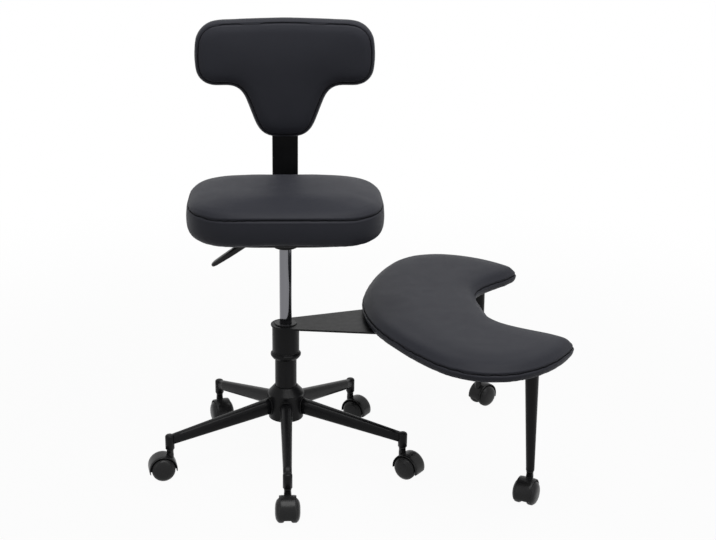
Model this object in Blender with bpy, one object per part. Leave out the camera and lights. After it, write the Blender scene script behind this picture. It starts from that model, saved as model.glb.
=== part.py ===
"""Office chair for sitting cross-legged, with a crescent footrest that swings round the column.

Metres, +Z up, the chair faces -Y. The origin lies on the floor below the middle of the whole chair.
"""

import math

import bmesh
import bpy
from mathutils import Matrix, Vector
from mathutils.geometry import delaunay_2d_cdt

# Frame
COLUMN_X = -0.1515
COLUMN_Y = -0.0366
FIT = 0.0003

# How meshes are cut
WELD = 0.000001
SHARP_ANGLE = 35.0
OVERCUT = 0.003
ARC_MIDDLE = 0.293
MITRE_LIMIT = 0.6
GRID_MARGIN = 0.45

# Casters, twin wheels under a hood
WHEEL_RADIUS = 0.027
WHEEL_WIDTH = 0.0205
WHEEL_DOME = ((0.41, 0.0005), (0.67, 0.0020), (0.86, 0.0046), (0.97, 0.0080))
WHEEL_ROUND = 0.0108
WHEEL_INNER_ROUND = 0.0034
WHEEL_STEPS = 18
WHEEL_CLEARANCE = 0.003
AXLE_RADIUS = 0.004
AXLE_REACH = 0.013
AXLE_STEPS = 10
HOOD_WALL = 0.0028
HOOD_WIDTH = 0.038
HOOD_FRONT_ANGLE = -15.0
HOOD_BACK_ANGLE = 187.0
HOOD_STEPS = 11
HOOD_ROOM_STEPS = 20
WEB_WIDTH = 0.0125
WEB_CLEARANCE = 0.0008
WEB_DROP = 0.009
CASTER_TRAIL = 0.018
BOSS_RADIUS = 0.0083
BOSS_RISE = 0.0447
STEM_RADIUS = 0.0055
STEM_NECK_RADIUS = 0.004
STEM_DEPTH = 0.034
STEM_INSERT = 0.024
STEM_STEPS = 10
STEM_TIP = 0.0015

# Five-legged base
LEG_COUNT = 5
LEG_FIRST_ANGLE = -89.4
STEM_CIRCLE = 0.281
SOCKET_RADIUS = 0.0105
SOCKET_LENGTH = 0.035
SOCKET_ROUND = 0.005
SOCKET_STEPS = 12
LEG_ROOT_WIDTH = 0.0285
LEG_ROOT_HEIGHT = 0.0370
LEG_ROOT_RISE = 0.0525
LEG_TIP_WIDTH = 0.0188
LEG_TIP_HEIGHT = 0.0240
LEG_OVERLAP = 0.0035
LEG_SQUARENESS = 2.8
LEG_STEPS = 12
HUB_RADIUS = 0.0405
HUB_RISE = 0.040
HUB_HEIGHT = 0.079
HUB_RIDGE = 0.0020
HUB_RIDGE_HEIGHT = 0.008
HUB_CONE_HEIGHT = 0.017
HUB_LIP = 0.002
TURN_STEPS = 26

# Column, gas spring and their guides
COLUMN_RADIUS = 0.025
COLUMN_WALL = 0.002
COLUMN_END_WALL = 0.003
COLUMN_SINK = 0.004
COLUMN_PROUD = 0.0008
BUSH_LENGTH = 0.060
BUSH_LIP = 0.0014
CYLINDER_RADIUS = 0.014
CYLINDER_WALL = 0.0018
CYLINDER_BELOW = 0.080
CYLINDER_GUIDE = 0.012
CYLINDER_TAPER = 0.0008
CYLINDER_PAST_WEB = 0.010
CYLINDER_STEPS = 22
GAS_ROOM = 0.150
ROD_RADIUS = 0.005
ROD_SHOULDER = 0.0035
ROD_SHOULDER_HEIGHT = 0.006
ROD_END = 0.0045
PISTON_HEIGHT = 0.014
PISTON_LIFT = 0.003
BEARING_RADIUS = 0.0125
BEARING_HEIGHT = 0.006
CLIP_HEIGHT = 0.0015
CLIP_RADIUS = 0.009
ROD_STEPS = 20
COLLAR_RISE = 0.1475
COLLAR_HEIGHT = 0.0165
COLLAR_RADIUS = 0.0352
COLLAR_SHAPE = ((0.0041, COLLAR_HEIGHT), (0.0, 0.0124), (0.0, 0.0083), (0.0041, 0.0025), (0.0074, 0.0))

# Footrest swivel and arm plate
FOOTREST_TURN = 5.0
SLEEVE_WALL = 0.003
SLEEVE_HEIGHT = 0.0610
SLEEVE_BUSH_WALL = 0.0027
SLEEVE_BUSH_LENGTH = 0.018
SLEEVE_BUSH_FLANGE = 0.0015
PLATE_THICKNESS = 0.004
PLATE_NOSE = 0.0345
PLATE_NOSE_STEPS = 12
PLATE_SPREAD_ANGLE = 12.3
PLATE_REACH = 0.405
PLATE_HOLE_GAP = 0.0006
PLATE_SCREW_OUT = (0.235, 0.372)
PLATE_SCREW_SPREAD = (0.048, 0.070)

# Footrest board, pad and legs
PAD_BACK = 0.182
PAD_TIP = 0.6040
PAD_HALF_LENGTH = 0.389
PAD_TIP_SPREAD = 0.629 * PAD_HALF_LENGTH
PAD_TIP_ROUND = 0.025
PAD_TIP_ANGLES = (38.0, 13.0, -13.0, -38.0)
PAD_NOTCH = 0.458
PAD_CUT = 0.045
PAD_THICKNESS = 0.0345
PAD_CROWN = 0.0045
PAD_CROWN_REACH = 0.06
PAD_SIDE = ((0.006, 0.0), (0.0015, 0.005), (0.0, 0.009))
PAD_SEAM = 0.0165
PAD_SEAM_INSET = 0.0014
PAD_SHOULDER = ((0.0045, 0.008), (0.0095, 0.0025), (0.0165, 0.0))
PAD_RIM = 0.008
FOOT_BOARD = 0.010
FOOT_LEG_INSET = 0.0825
FOOT_LEG_OUT = PAD_TIP - FOOT_LEG_INSET
FOOT_LEG_SPLAY = 0.0105
FOOT_LEG_SPREAD = 0.649 * PAD_HALF_LENGTH
FOOT_LEG_TOP_RADIUS = 0.016
FOOT_LEG_END_RADIUS = 0.0095
FOOT_LEG_COLLAR = 0.006
FOOT_FLANGE_RADIUS = 0.034
FOOT_FLANGE = 0.004
FOOT_SCREW_CIRCLE = 0.0245
FOOT_SCREW_COUNT = 4
FOOT_LEG_STEPS = 16

# Seat plate, cup and lever
SEAT_RISE = 0.2325
CHANNEL_HALF_WIDTH = 0.043
CHANNEL_DEPTH = 0.028
CHANNEL_WALL = 0.0025
CHANNEL_FRONT = 0.062
CHANNEL_REAR = 0.112
FLANGE_REACH = 0.042
CUP_RADIUS = 0.029
CUP_HEIGHT = 0.0200
CUP_ROUND = 0.005
SEAT_SCREW_OUT = 0.064
SEAT_SCREW_FRONT = 0.050
SEAT_SCREW_REAR = 0.090
RELEASE_RADIUS = 0.0035
RELEASE_LENGTH = 0.016
RELEASE_PROUD = 0.006
RELEASE_ROOM = 0.006
RELEASE_STEPS = 12
PIVOT_OUT = 0.024
PIVOT_RADIUS = 0.0025
PIVOT_EYE = 0.0062
PIVOT_EYE_WIDTH = 0.014
PIVOT_PROUD = 0.0012
LUG_WALL = 0.0025
LUG_HALF_WIDTH = 0.0065
LUG_RISE = 0.0050
LEVER_RADIUS = 0.004
LEVER_NOSE = 0.009
LEVER_KNEE_OUT = 0.078
LEVER_KNEE_DROP = 0.0182
LEVER_STEPS = 8
EYE_STEPS = 12
LEVER_SLOT_HALF = 0.007
PADDLE_START_OUT = 0.086
PADDLE_LENGTH = 0.098
PADDLE_SLOPE = 34.0
PADDLE_SECTIONS = (
    (0.0, 0.017, 0.0150), (0.28, 0.018, 0.0150), (0.48, 0.023, 0.0142), (0.70, 0.024, 0.0128),
    (0.90, 0.022, 0.0108), (0.97, 0.0180, 0.0085), (1.0, 0.0120, 0.0055),
)
PADDLE_SOCKET = 0.020
PADDLE_SQUARENESS = 3.0
PADDLE_STEPS = 12

# Seam groove of the cushions
SEAM_HALF = 0.0016
SEAM_DEPTH = 0.0018

# Seat board and cushion, its side given as inset and height, its shoulder as inset and drop
SEAT_WIDTH = 0.438
SEAT_DEPTH = 0.356
SEAT_SHIFT = -0.004
SEAT_SQUARENESS = 3.3
SEAT_STEPS = 44
SEAT_THICKNESS = 0.0805
SEAT_CROWN = 0.007
SEAT_CROWN_REACH = 0.12
SEAT_CUT = 0.048
SEAT_SIDE = ((0.020, 0.0), (0.010, 0.005), (0.003, 0.016), (0.0, 0.033), (0.0015, 0.0555))
SEAT_SEAM = 0.0655
SEAT_SEAM_INSET = 0.0040
SEAT_SHOULDER = ((0.012, 0.006), (0.025, 0.001), (0.038, 0.0))
SEAT_RIM = 0.022
SEAT_BOARD = 0.011

# Back post, board and cushion
BAR_WIDTH = 0.061
BAR_THICKNESS = 0.006
BAR_RIB = 0.003
BAR_RIB_WIDTH = 0.032
BAR_START = 0.036
BAR_FACE = 0.2185
BAR_BEND = 0.045
BAR_BEND_STEPS = 8
BAR_TOP_RISE = 0.325
BAR_SCREW_OUT = (0.056, 0.094)
BACK_RISE = 0.1615
BACK_HEIGHT = 0.2765
BACK_ARM = 0.154
BACK_HALF_WIDTH = 0.206
BACK_ARCH = 0.005
BACK_STEM_TOP = 0.1036
BACK_STEM_END = 0.0554
BACK_TOP_ROUND = 0.056
BACK_ARM_ROUND = 0.046
BACK_NECK_ROUND = 0.040
BACK_END_ROUND = 0.048
BACK_BEND = 0.020
BACK_THICKNESS = 0.047
BACK_CROWN = 0.006
BACK_CROWN_REACH = 0.06
BACK_CUT = 0.036
BACK_ARC_STEP = 20.0
BACK_SIDE = ((0.009, 0.0), (0.003, 0.006), (0.0, 0.017), (0.0015, 0.0323))
BACK_SEAM = 0.038
BACK_SEAM_INSET = 0.0040
BACK_SHOULDER = ((0.011, 0.003), (0.020, 0.0))
BACK_RIM = 0.012
BACK_BOARD = 0.009
BACK_SCREW_SPREAD = 0.018
BACK_SCREW_RISE = (0.050, 0.130)

# Screw holes in the steel pieces
SCREW_HOLE_RADIUS = 0.0031
SCREW_STEPS = 8

# Where each caster trails at rest, degrees about +Z, in the order of the legs
BASE_CASTER_TURNS = (-90.0, -38.0, -34.0, -70.0, 192.0)
FOOT_CASTER_TURNS = (-120.0, 38.0)

# Heights that follow from the sizes above
SOCKET_Z = WHEEL_RADIUS + BOSS_RISE + FIT
STEM_TOP = SOCKET_Z + STEM_INSERT
STEM_LOW = SOCKET_Z - STEM_DEPTH
HUB_Z = SOCKET_Z + HUB_RISE
COLUMN_Z = HUB_Z + COLUMN_SINK
ROD_SEAT_Z = COLUMN_Z + COLUMN_END_WALL + FIT + BEARING_HEIGHT + FIT
COLLAR_Z = HUB_Z + COLLAR_RISE
BUSH_Z = COLLAR_Z + COLLAR_HEIGHT + FIT
SLEEVE_Z = BUSH_Z + SLEEVE_BUSH_FLANGE + FIT
SLEEVE_TOP = SLEEVE_Z + SLEEVE_HEIGHT
SLEEVE_BORE = COLUMN_RADIUS + FIT + SLEEVE_BUSH_WALL + FIT
PLATE_Z = SLEEVE_TOP + FIT
PLATE_TOP = PLATE_Z + PLATE_THICKNESS
COLUMN_TOP = PLATE_TOP + COLUMN_PROUD
FOOT_BOARD_Z = PLATE_TOP + FIT
SEAT_Z = PLATE_TOP + SEAT_RISE
CHANNEL_Z = SEAT_Z - CHANNEL_DEPTH
WEB_TOP = CHANNEL_Z + CHANNEL_WALL
CUP_Z = CHANNEL_Z - FIT - CUP_HEIGHT
CYLINDER_Z = COLUMN_TOP - CYLINDER_BELOW
CYLINDER_TOP = WEB_TOP + CYLINDER_PAST_WEB
RELEASE_TOP = CYLINDER_TOP + RELEASE_PROUD
LEVER_NOSE_Z = RELEASE_TOP + FIT + LEVER_RADIUS
PIVOT_Z = LEVER_NOSE_Z - 2.0 * LEVER_RADIUS
LUG_INNER = PIVOT_EYE_WIDTH / 2.0 + FIT
SEAT_BOARD_Z = SEAT_Z + FIT
BAR_LOW = WEB_TOP + FIT
BACK_FACE = BAR_FACE - FIT
BACK_Z = SEAT_Z + BACK_RISE


def clear_scene():
    """Empty the scene that the script starts in."""
    for old in list(bpy.data.objects):
        bpy.data.objects.remove(old, do_unlink=True)


def material(name, colour, roughness, metallic):
    """Principled material with one colour and finish."""
    made = bpy.data.materials.new(name)
    made.use_nodes = True
    shader = made.node_tree.nodes["Principled BSDF"]
    shader.inputs["Base Color"].default_value = (*colour, 1.0)
    shader.inputs["Roughness"].default_value = roughness
    shader.inputs["Metallic"].default_value = metallic
    return made


def empty(name, parent=None, location=(0.0, 0.0, 0.0), turn=0.0):
    """Empty that carries pieces, turned about +Z by an angle in degrees."""
    guide = bpy.data.objects.new(name, None)
    bpy.context.scene.collection.objects.link(guide)
    guide.parent = parent
    guide.location = location
    guide.rotation_euler = (0.0, 0.0, math.radians(turn))
    return guide


def as_mesh(bm, name):
    """Mesh from a bmesh, facing out and shaded smooth between sharp edges."""
    bmesh.ops.remove_doubles(bm, verts=bm.verts, dist=WELD)
    bmesh.ops.dissolve_degenerate(bm, edges=bm.edges, dist=WELD)
    bmesh.ops.recalc_face_normals(bm, faces=bm.faces)
    mesh = bpy.data.meshes.new(name)
    bm.to_mesh(mesh)
    bm.free()
    mesh.shade_smooth()
    mesh.set_sharp_from_angle(angle=math.radians(SHARP_ANGLE))
    return mesh


def place(name, mesh, finish, parent, location=(0.0, 0.0, 0.0), turn=0.0):
    """Named piece under its parent."""
    piece = bpy.data.objects.new(name, mesh)
    bpy.context.scene.collection.objects.link(piece)
    piece.parent = parent
    piece.location = location
    piece.rotation_euler = (0.0, 0.0, math.radians(turn))
    if not mesh.materials:
        mesh.materials.append(finish)
    return piece


def combined(base, tools, name):
    """Mesh of a bmesh after Boolean tools, given as pairs of operation and bmesh."""
    scene = bpy.context.scene.collection.objects
    target = bpy.data.objects.new(name, as_mesh(base, name))
    scene.link(target)
    helpers = [target]
    for operation, tool in tools:
        helper = bpy.data.objects.new(name + "_tool", as_mesh(tool, name + "_tool"))
        scene.link(helper)
        helpers.append(helper)
        modifier = target.modifiers.new(operation, "BOOLEAN")
        modifier.operation = operation
        modifier.solver = "EXACT"
        modifier.object = helper
    graph = bpy.context.evaluated_depsgraph_get()
    mesh = bpy.data.meshes.new_from_object(target.evaluated_get(graph))
    for helper in helpers:
        bpy.data.objects.remove(helper, do_unlink=True)
    bm = bmesh.new()
    bm.from_mesh(mesh)
    bpy.data.meshes.remove(mesh)
    return as_mesh(bm, name)


def joined(parts):
    """One bmesh holding several separate bodies."""
    whole = bmesh.new()
    for part in parts:
        mesh = bpy.data.meshes.new("part")
        part.to_mesh(mesh)
        part.free()
        whole.from_mesh(mesh)
        bpy.data.meshes.remove(mesh)
    return whole


def moved(bm, matrix):
    """The same bmesh after a transform."""
    bmesh.ops.transform(bm, matrix=matrix, verts=bm.verts)
    return bm


def revolve(profile, steps):
    """Body turned about Z from a closed profile of radius and height."""
    bm = bmesh.new()
    ring = [bm.verts.new((radius, 0.0, height)) for radius, height in profile]
    edges = []
    for first, second in zip(ring, ring[1:] + ring[:1]):
        if first.co.x > 0.0 or second.co.x > 0.0:
            edges.append(bm.edges.new((first, second)))
    bmesh.ops.spin(
        bm, geom=ring + edges, axis=(0.0, 0.0, 1.0), cent=(0.0, 0.0, 0.0),
        angle=2.0 * math.pi, steps=steps, use_merge=True,
    )
    bmesh.ops.remove_doubles(bm, verts=bm.verts, dist=WELD)
    bmesh.ops.dissolve_degenerate(bm, edges=bm.edges, dist=WELD)
    return bm


def tube(inner, outer, low, high, steps):
    """Plain ring."""
    return revolve([(inner, high), (outer, high), (outer, low), (inner, low)], steps)


def rod(radius, low, high, steps):
    """Plain round bar on Z."""
    return revolve([(0.0, high), (radius, high), (radius, low), (0.0, low)], steps)


def prism(outline, low, high):
    """Flat outline extruded along Z."""
    bm = bmesh.new()
    face = bm.faces.new([bm.verts.new((x, y, low)) for x, y in outline])
    grown = bmesh.ops.extrude_face_region(bm, geom=[face])
    top = [item for item in grown["geom"] if isinstance(item, bmesh.types.BMVert)]
    bmesh.ops.translate(bm, verts=top, vec=(0.0, 0.0, high - low))
    return bm


def loft(rings, strips=False):
    """Body through rings of equal length; strips close a first ring that isn't flat."""
    bm = bmesh.new()
    rows = [[bm.verts.new(point) for point in ring] for ring in rings]
    count = len(rows[0])
    for lower, upper in zip(rows, rows[1:]):
        for i in range(count):
            j = (i + 1) % count
            bm.faces.new((lower[i], lower[j], upper[j], upper[i]))
    bm.faces.new(rows[-1])
    if strips:
        strip(bm, rows[0])
    else:
        bm.faces.new(rows[0])
    return bm


def strip(bm, row):
    """Close a ring whose first point lies on its axis of symmetry, by strips across that axis."""
    count = len(row)
    for i in range(count // 2):
        quad = [row[i], row[i + 1], row[count - 1 - i], row[-i]]
        bm.faces.new(list(dict.fromkeys(quad)))


def superellipse(half_x, half_y, power, steps):
    """Rounded rectangle without straight runs, counter-clockwise."""
    points = []
    for i in range(steps):
        angle = 2.0 * math.pi * i / steps
        c = math.cos(angle)
        s = math.sin(angle)
        x = half_x * math.copysign(abs(c) ** (2.0 / power), c)
        y = half_y * math.copysign(abs(s) ** (2.0 / power), s)
        points.append((x, y))
    return points


def filleted(corners, step):
    """Outline through corners given as x, y and fillet radius, arcs cut at a step in degrees."""
    outline = []
    count = len(corners)
    for i, (x, y, radius) in enumerate(corners):
        here = Vector((x, y))
        back = (Vector(corners[i - 1][:2]) - here).normalized()
        ahead = (Vector(corners[(i + 1) % count][:2]) - here).normalized()
        opening = back.angle(ahead)
        reach = radius / math.tan(opening / 2.0)
        centre = here + (back + ahead).normalized() * radius / math.sin(opening / 2.0)
        start = here + back * reach - centre
        sweep = math.pi - opening
        if back.x * ahead.y - back.y * ahead.x > 0.0:
            sweep = -sweep
        cuts = max(2, round(abs(math.degrees(sweep)) / step))
        for k in range(cuts + 1):
            turn = Matrix.Rotation(sweep * k / cuts, 2)
            outline.append(tuple(centre + turn @ start))
    return outline


def smooth_outline(points, spacing):
    """Closed curve through its points, cut at about an even spacing."""
    count = len(points)
    outline = []
    for i in range(count):
        knots = [Vector(points[(i + k) % count]) for k in (-1, 0, 1, 2)]
        times = [0.0]
        for first, second in zip(knots, knots[1:]):
            times.append(times[-1] + math.sqrt((second - first).length))
        cuts = max(1, round((knots[2] - knots[1]).length / spacing))
        for k in range(cuts):
            time = times[1] + (times[2] - times[1]) * k / cuts
            outline.append(tuple(spline_point(knots, times, time)))
    return outline


def spline_point(knots, times, time):
    """Point at a time on the curve through four knots, between the middle two."""
    def blend(first, second, start, end):
        return first.lerp(second, (time - times[start]) / (times[end] - times[start]))

    near = [blend(knots[i], knots[i + 1], i, i + 1) for i in range(3)]
    early = blend(near[0], near[1], 0, 2)
    late = blend(near[1], near[2], 1, 3)
    return blend(early, late, 1, 2)


def divided(outline, longest):
    """Outline whose long edges are cut into pieces no longer than a length."""
    result = []
    for first, second in zip(outline, outline[1:] + outline[:1]):
        start = Vector(first)
        end = Vector(second)
        pieces = math.ceil((end - start).length / longest)
        result += [tuple(start.lerp(end, k / pieces)) for k in range(pieces)]
    return result


def inset(outline, distance):
    """Counter-clockwise outline drawn in by a distance."""
    result = []
    count = len(outline)
    for i in range(count):
        here = Vector(outline[i])
        before = (here - Vector(outline[i - 1])).normalized()
        after = (Vector(outline[(i + 1) % count]) - here).normalized()
        normal = Vector((-before.y - after.y, before.x + after.x)).normalized()
        stretch = max(MITRE_LIMIT, normal.dot(Vector((-after.y, after.x))))
        result.append(tuple(here + normal * distance / stretch))
    return result


def edge_distance(point, outline):
    """Distance from a point to an outline, negative outside it."""
    best = math.inf
    inside = False
    x, y = point
    for (ax, ay), (bx, by) in zip(outline, outline[1:] + outline[:1]):
        dx = bx - ax
        dy = by - ay
        t = ((x - ax) * dx + (y - ay) * dy) / (dx * dx + dy * dy)
        t = min(1.0, max(0.0, t))
        best = min(best, math.hypot(ax + dx * t - x, ay + dy * t - y))
        if (ay > y) != (by > y) and x < ax + dx * (y - ay) / dy:
            inside = not inside
    return best if inside else -best


def grid_inside(outline, spacing, margin):
    """Points on a grid inside an outline, clear of its edge."""
    xs = [p[0] for p in outline]
    ys = [p[1] for p in outline]
    points = []
    for i in range(int((max(xs) - min(xs)) / spacing) + 1):
        for j in range(int((max(ys) - min(ys)) / spacing) + 1):
            point = (min(xs) + spacing * (i + 0.5), min(ys) + spacing * (j + 0.5))
            if edge_distance(point, outline) > margin:
                points.append(point)
    return points


def stacked(bm, levels):
    """Walls through a stack of outlines, given as points and height; returns the rows of vertices."""
    rows = [[bm.verts.new((x, y, height)) for x, y in outline] for outline, height in levels]
    count = len(rows[0])
    for lower, upper in zip(rows, rows[1:]):
        for i in range(count):
            j = (i + 1) % count
            bm.faces.new((lower[i], lower[j], upper[j], upper[i]))
    return rows


def seamed_side(lower, seam, drawn_in, shoulder, thickness):
    """Side of a cushion as inset and height: lower edge, seam groove and rounded shoulder."""
    groove = [
        (drawn_in, seam - SEAM_HALF), (drawn_in + SEAM_DEPTH, seam),
        (drawn_in + SEAM_DEPTH / 2.0, seam + SEAM_HALF),
    ]
    return list(lower) + groove + [(distance, thickness - drop) for distance, drop in shoulder]


def cushion(outline, side, crown, reach, spacing, pocket, depth):
    """Upholstered pad with a crowned top and a pocket below for its board.

    The side is a list of inset and height from the lower edge to the shoulder.
    """
    bm = bmesh.new()
    levels = [(pocket, depth), (pocket, 0.0)] + side
    rows = stacked(bm, [(inset(outline, distance), height) for distance, height in levels])
    crowned_top(bm, rows[0], 0.0, reach, spacing)
    crowned_top(bm, rows[-1], crown, reach, spacing)
    return bm


def slab(outline, thickness, spacing):
    """Flat board with points inside its faces, so that it can be bent."""
    bm = bmesh.new()
    for row in stacked(bm, [(outline, 0.0), (outline, thickness)]):
        crowned_top(bm, row, 0.0, spacing, spacing)
    return bm


def crowned_top(bm, row, crown, reach, spacing):
    """Close a ring by a face that rises towards the middle."""
    edge = [(v.co.x, v.co.y) for v in row]
    level = row[0].co.z
    inner = grid_inside(edge, spacing, spacing * GRID_MARGIN)
    loop = [(i, (i + 1) % len(edge)) for i in range(len(edge))]
    flat = [Vector(p) for p in edge + inner]
    places, _, faces, origins, _, _ = delaunay_2d_cdt(flat, loop, [], 1, WELD)
    verts = []
    for place_xy, origin in zip(places, origins):
        if origin and origin[0] < len(edge):
            verts.append(row[origin[0]])
        else:
            share = min(1.0, edge_distance(tuple(place_xy), edge) / reach)
            rise = crown * math.sin(share * math.pi / 2.0)
            verts.append(bm.verts.new((place_xy.x, place_xy.y, level + rise)))
    for face in faces:
        bm.faces.new([verts[i] for i in face])


def screw_holes(points, low, high):
    """Cutters for screw holes between two distances from the points."""
    return joined([
        moved(rod(SCREW_HOLE_RADIUS, low, high, SCREW_STEPS), Matrix.Translation(point))
        for point in points
    ])


# Casters


def hood_mesh():
    """Hood with its web, axle and swivel boss; the wheels trail along +X from the boss."""
    axle = Matrix.Translation((CASTER_TRAIL, 0.0, WHEEL_RADIUS)) @ Matrix.Rotation(math.pi / 2.0, 4, "X")
    outer = WHEEL_RADIUS + WHEEL_CLEARANCE + HOOD_WALL
    inner = WHEEL_RADIUS + WHEEL_CLEARANCE
    arc = []
    for i in range(HOOD_STEPS + 1):
        angle = HOOD_FRONT_ANGLE + (HOOD_BACK_ANGLE - HOOD_FRONT_ANGLE) * i / HOOD_STEPS
        arc.append((math.cos(math.radians(angle)), math.sin(math.radians(angle))))
    shell_outline = [(outer * c, outer * s) for c, s in arc]
    shell_outline += [(inner * c, inner * s) for c, s in reversed(arc)]
    shell = moved(prism(shell_outline, -HOOD_WIDTH / 2.0, HOOD_WIDTH / 2.0), axle)
    middle = inner + HOOD_WALL / 2.0
    web_outline = [(middle * c, middle * s) for c, s in arc]
    web_outline += [(-WEB_DROP, -WEB_DROP), (WEB_DROP, -WEB_DROP)]
    web = moved(prism(web_outline, -WEB_WIDTH / 2.0, WEB_WIDTH / 2.0), axle)
    half = WEB_WIDTH / 2.0 + AXLE_REACH
    pin = moved(rod(AXLE_RADIUS, -half, half, AXLE_STEPS), axle)
    boss_foot = WHEEL_RADIUS + math.sqrt((inner + HOOD_WALL / 2.0) ** 2 - (CASTER_TRAIL + BOSS_RADIUS) ** 2)
    boss = rod(BOSS_RADIUS, boss_foot, WHEEL_RADIUS + BOSS_RISE, SOCKET_STEPS)
    bore = rod(STEM_NECK_RADIUS + FIT, STEM_LOW - FIT, SOCKET_Z, STEM_STEPS)
    room = WHEEL_RADIUS + WHEEL_CLEARANCE / 2.0
    near = WEB_WIDTH / 2.0 + FIT
    tools = [("UNION", web), ("UNION", boss)]
    for low, high in ((-HOOD_WIDTH, -near), (near, HOOD_WIDTH)):
        tools.append(("DIFFERENCE", moved(rod(room, low, high, HOOD_ROOM_STEPS), axle)))
    tools += [("UNION", pin), ("DIFFERENCE", bore)]
    return combined(shell, tools, "caster_hood")


def wheel_mesh(side):
    """Domed wheel on one side of the web, with a flat of its tread on the floor."""
    rim = WHEEL_RADIUS / math.cos(math.pi / WHEEL_STEPS)
    bore_end = AXLE_REACH - WEB_CLEARANCE + FIT
    dome = [(share * rim, WHEEL_WIDTH - drop) for share, drop in WHEEL_DOME]
    profile = [(0.0, WHEEL_WIDTH)] + dome + [
        (rim, WHEEL_WIDTH - WHEEL_ROUND), (rim, WHEEL_INNER_ROUND), (rim - WHEEL_INNER_ROUND, 0.0),
        (AXLE_RADIUS + FIT, 0.0), (AXLE_RADIUS + FIT, bore_end), (0.0, bore_end),
    ]
    wheel = revolve(profile, WHEEL_STEPS)
    flat_down = Matrix.Rotation(math.pi / WHEEL_STEPS + math.pi / 2.0, 4, "Z")
    outward = Matrix.Rotation(-side * math.pi / 2.0, 4, "X")
    shift = Matrix.Translation((0.0, side * (WEB_WIDTH / 2.0 + WEB_CLEARANCE), 0.0))
    return as_mesh(moved(wheel, shift @ outward @ flat_down), "caster_wheel")


def stem_mesh():
    """Steel stem held in a leg's socket; the hood turns on its neck."""
    stem = revolve([
        (0.0, STEM_TOP), (STEM_RADIUS - STEM_TIP, STEM_TOP), (STEM_RADIUS, STEM_TOP - STEM_TIP),
        (STEM_RADIUS, SOCKET_Z), (STEM_NECK_RADIUS, SOCKET_Z), (STEM_NECK_RADIUS, STEM_LOW),
        (0.0, STEM_LOW),
    ], STEM_STEPS)
    return as_mesh(stem, "caster_stem")


def socket_profile(top):
    """Blind socket for a caster stem, closed at the top."""
    return [
        (0.0, top), (SOCKET_RADIUS - SOCKET_ROUND, top),
        (SOCKET_RADIUS - ARC_MIDDLE * SOCKET_ROUND, top - ARC_MIDDLE * SOCKET_ROUND),
        (SOCKET_RADIUS, top - SOCKET_ROUND), (SOCKET_RADIUS, SOCKET_Z),
        (STEM_RADIUS + FIT, SOCKET_Z), (STEM_RADIUS + FIT, STEM_TOP + FIT), (0.0, STEM_TOP + FIT),
    ]


def build_casters(places, finishes):
    """Stem, hood and two wheels for each place, given as number, parent, position and turn."""
    stem = stem_mesh()
    hood = hood_mesh()
    left = wheel_mesh(1.0)
    right = wheel_mesh(-1.0)
    for number, parent, (x, y), turn in places:
        name = f"caster_{number}"
        place(name + "_stem", stem, finishes["bright_steel"], parent, (x, y, 0.0))
        swivel = empty(name + "_swivel", parent, (x, y, 0.0), turn)
        place(name + "_hood", hood, finishes["nylon"], swivel)
        for side, mesh in (("left", left), ("right", right)):
            place(f"{name}_wheel_{side}", mesh, finishes["tread"], swivel, (CASTER_TRAIL, 0.0, WHEEL_RADIUS))


# Base and column


def leg_mesh():
    """Tapered leg from the hub to its caster socket, along +X."""
    root = HUB_RADIUS + FIT
    end = STEM_CIRCLE - SOCKET_RADIUS + LEG_OVERLAP
    root_z = SOCKET_Z + LEG_ROOT_RISE + LEG_ROOT_HEIGHT / 2.0
    tip_z = SOCKET_Z + SOCKET_LENGTH - LEG_TIP_HEIGHT / 2.0
    near = superellipse(LEG_ROOT_WIDTH / 2.0, LEG_ROOT_HEIGHT / 2.0, LEG_SQUARENESS, LEG_STEPS)
    far = superellipse(LEG_TIP_WIDTH / 2.0, LEG_TIP_HEIGHT / 2.0, LEG_SQUARENESS, LEG_STEPS)
    saddle = [(math.sqrt(root ** 2 - y ** 2), y, root_z + z) for y, z in near]
    leg = loft([saddle, [(end, y, tip_z + z) for y, z in far]], strips=True)
    socket = revolve(socket_profile(SOCKET_Z + SOCKET_LENGTH), SOCKET_STEPS)
    socket = moved(socket, Matrix.Translation((STEM_CIRCLE, 0.0, 0.0)))
    return combined(leg, [("UNION", socket)], "base_leg")


def build_base(axis, finishes):
    """Hub, legs, column and what holds the gas spring's rod."""
    steel = finishes["black_steel"]
    bore = COLUMN_RADIUS + FIT
    top = HUB_Z + HUB_HEIGHT
    ridge = top - HUB_CONE_HEIGHT
    hub = revolve([
        (bore, top), (bore + HUB_LIP, top), (HUB_RADIUS + HUB_RIDGE, ridge),
        (HUB_RADIUS + HUB_RIDGE, ridge - HUB_RIDGE_HEIGHT / 2.0), (HUB_RADIUS, ridge - HUB_RIDGE_HEIGHT),
        (HUB_RADIUS, HUB_Z), (bore, HUB_Z),
    ], TURN_STEPS)
    place("base_hub", as_mesh(hub, "base_hub"), steel, axis)
    leg = leg_mesh()
    for i in range(LEG_COUNT):
        place(f"base_leg_{i + 1}", leg, steel, axis, turn=LEG_FIRST_ANGLE + 360.0 * i / LEG_COUNT)
    build_column(axis, finishes)


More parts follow.
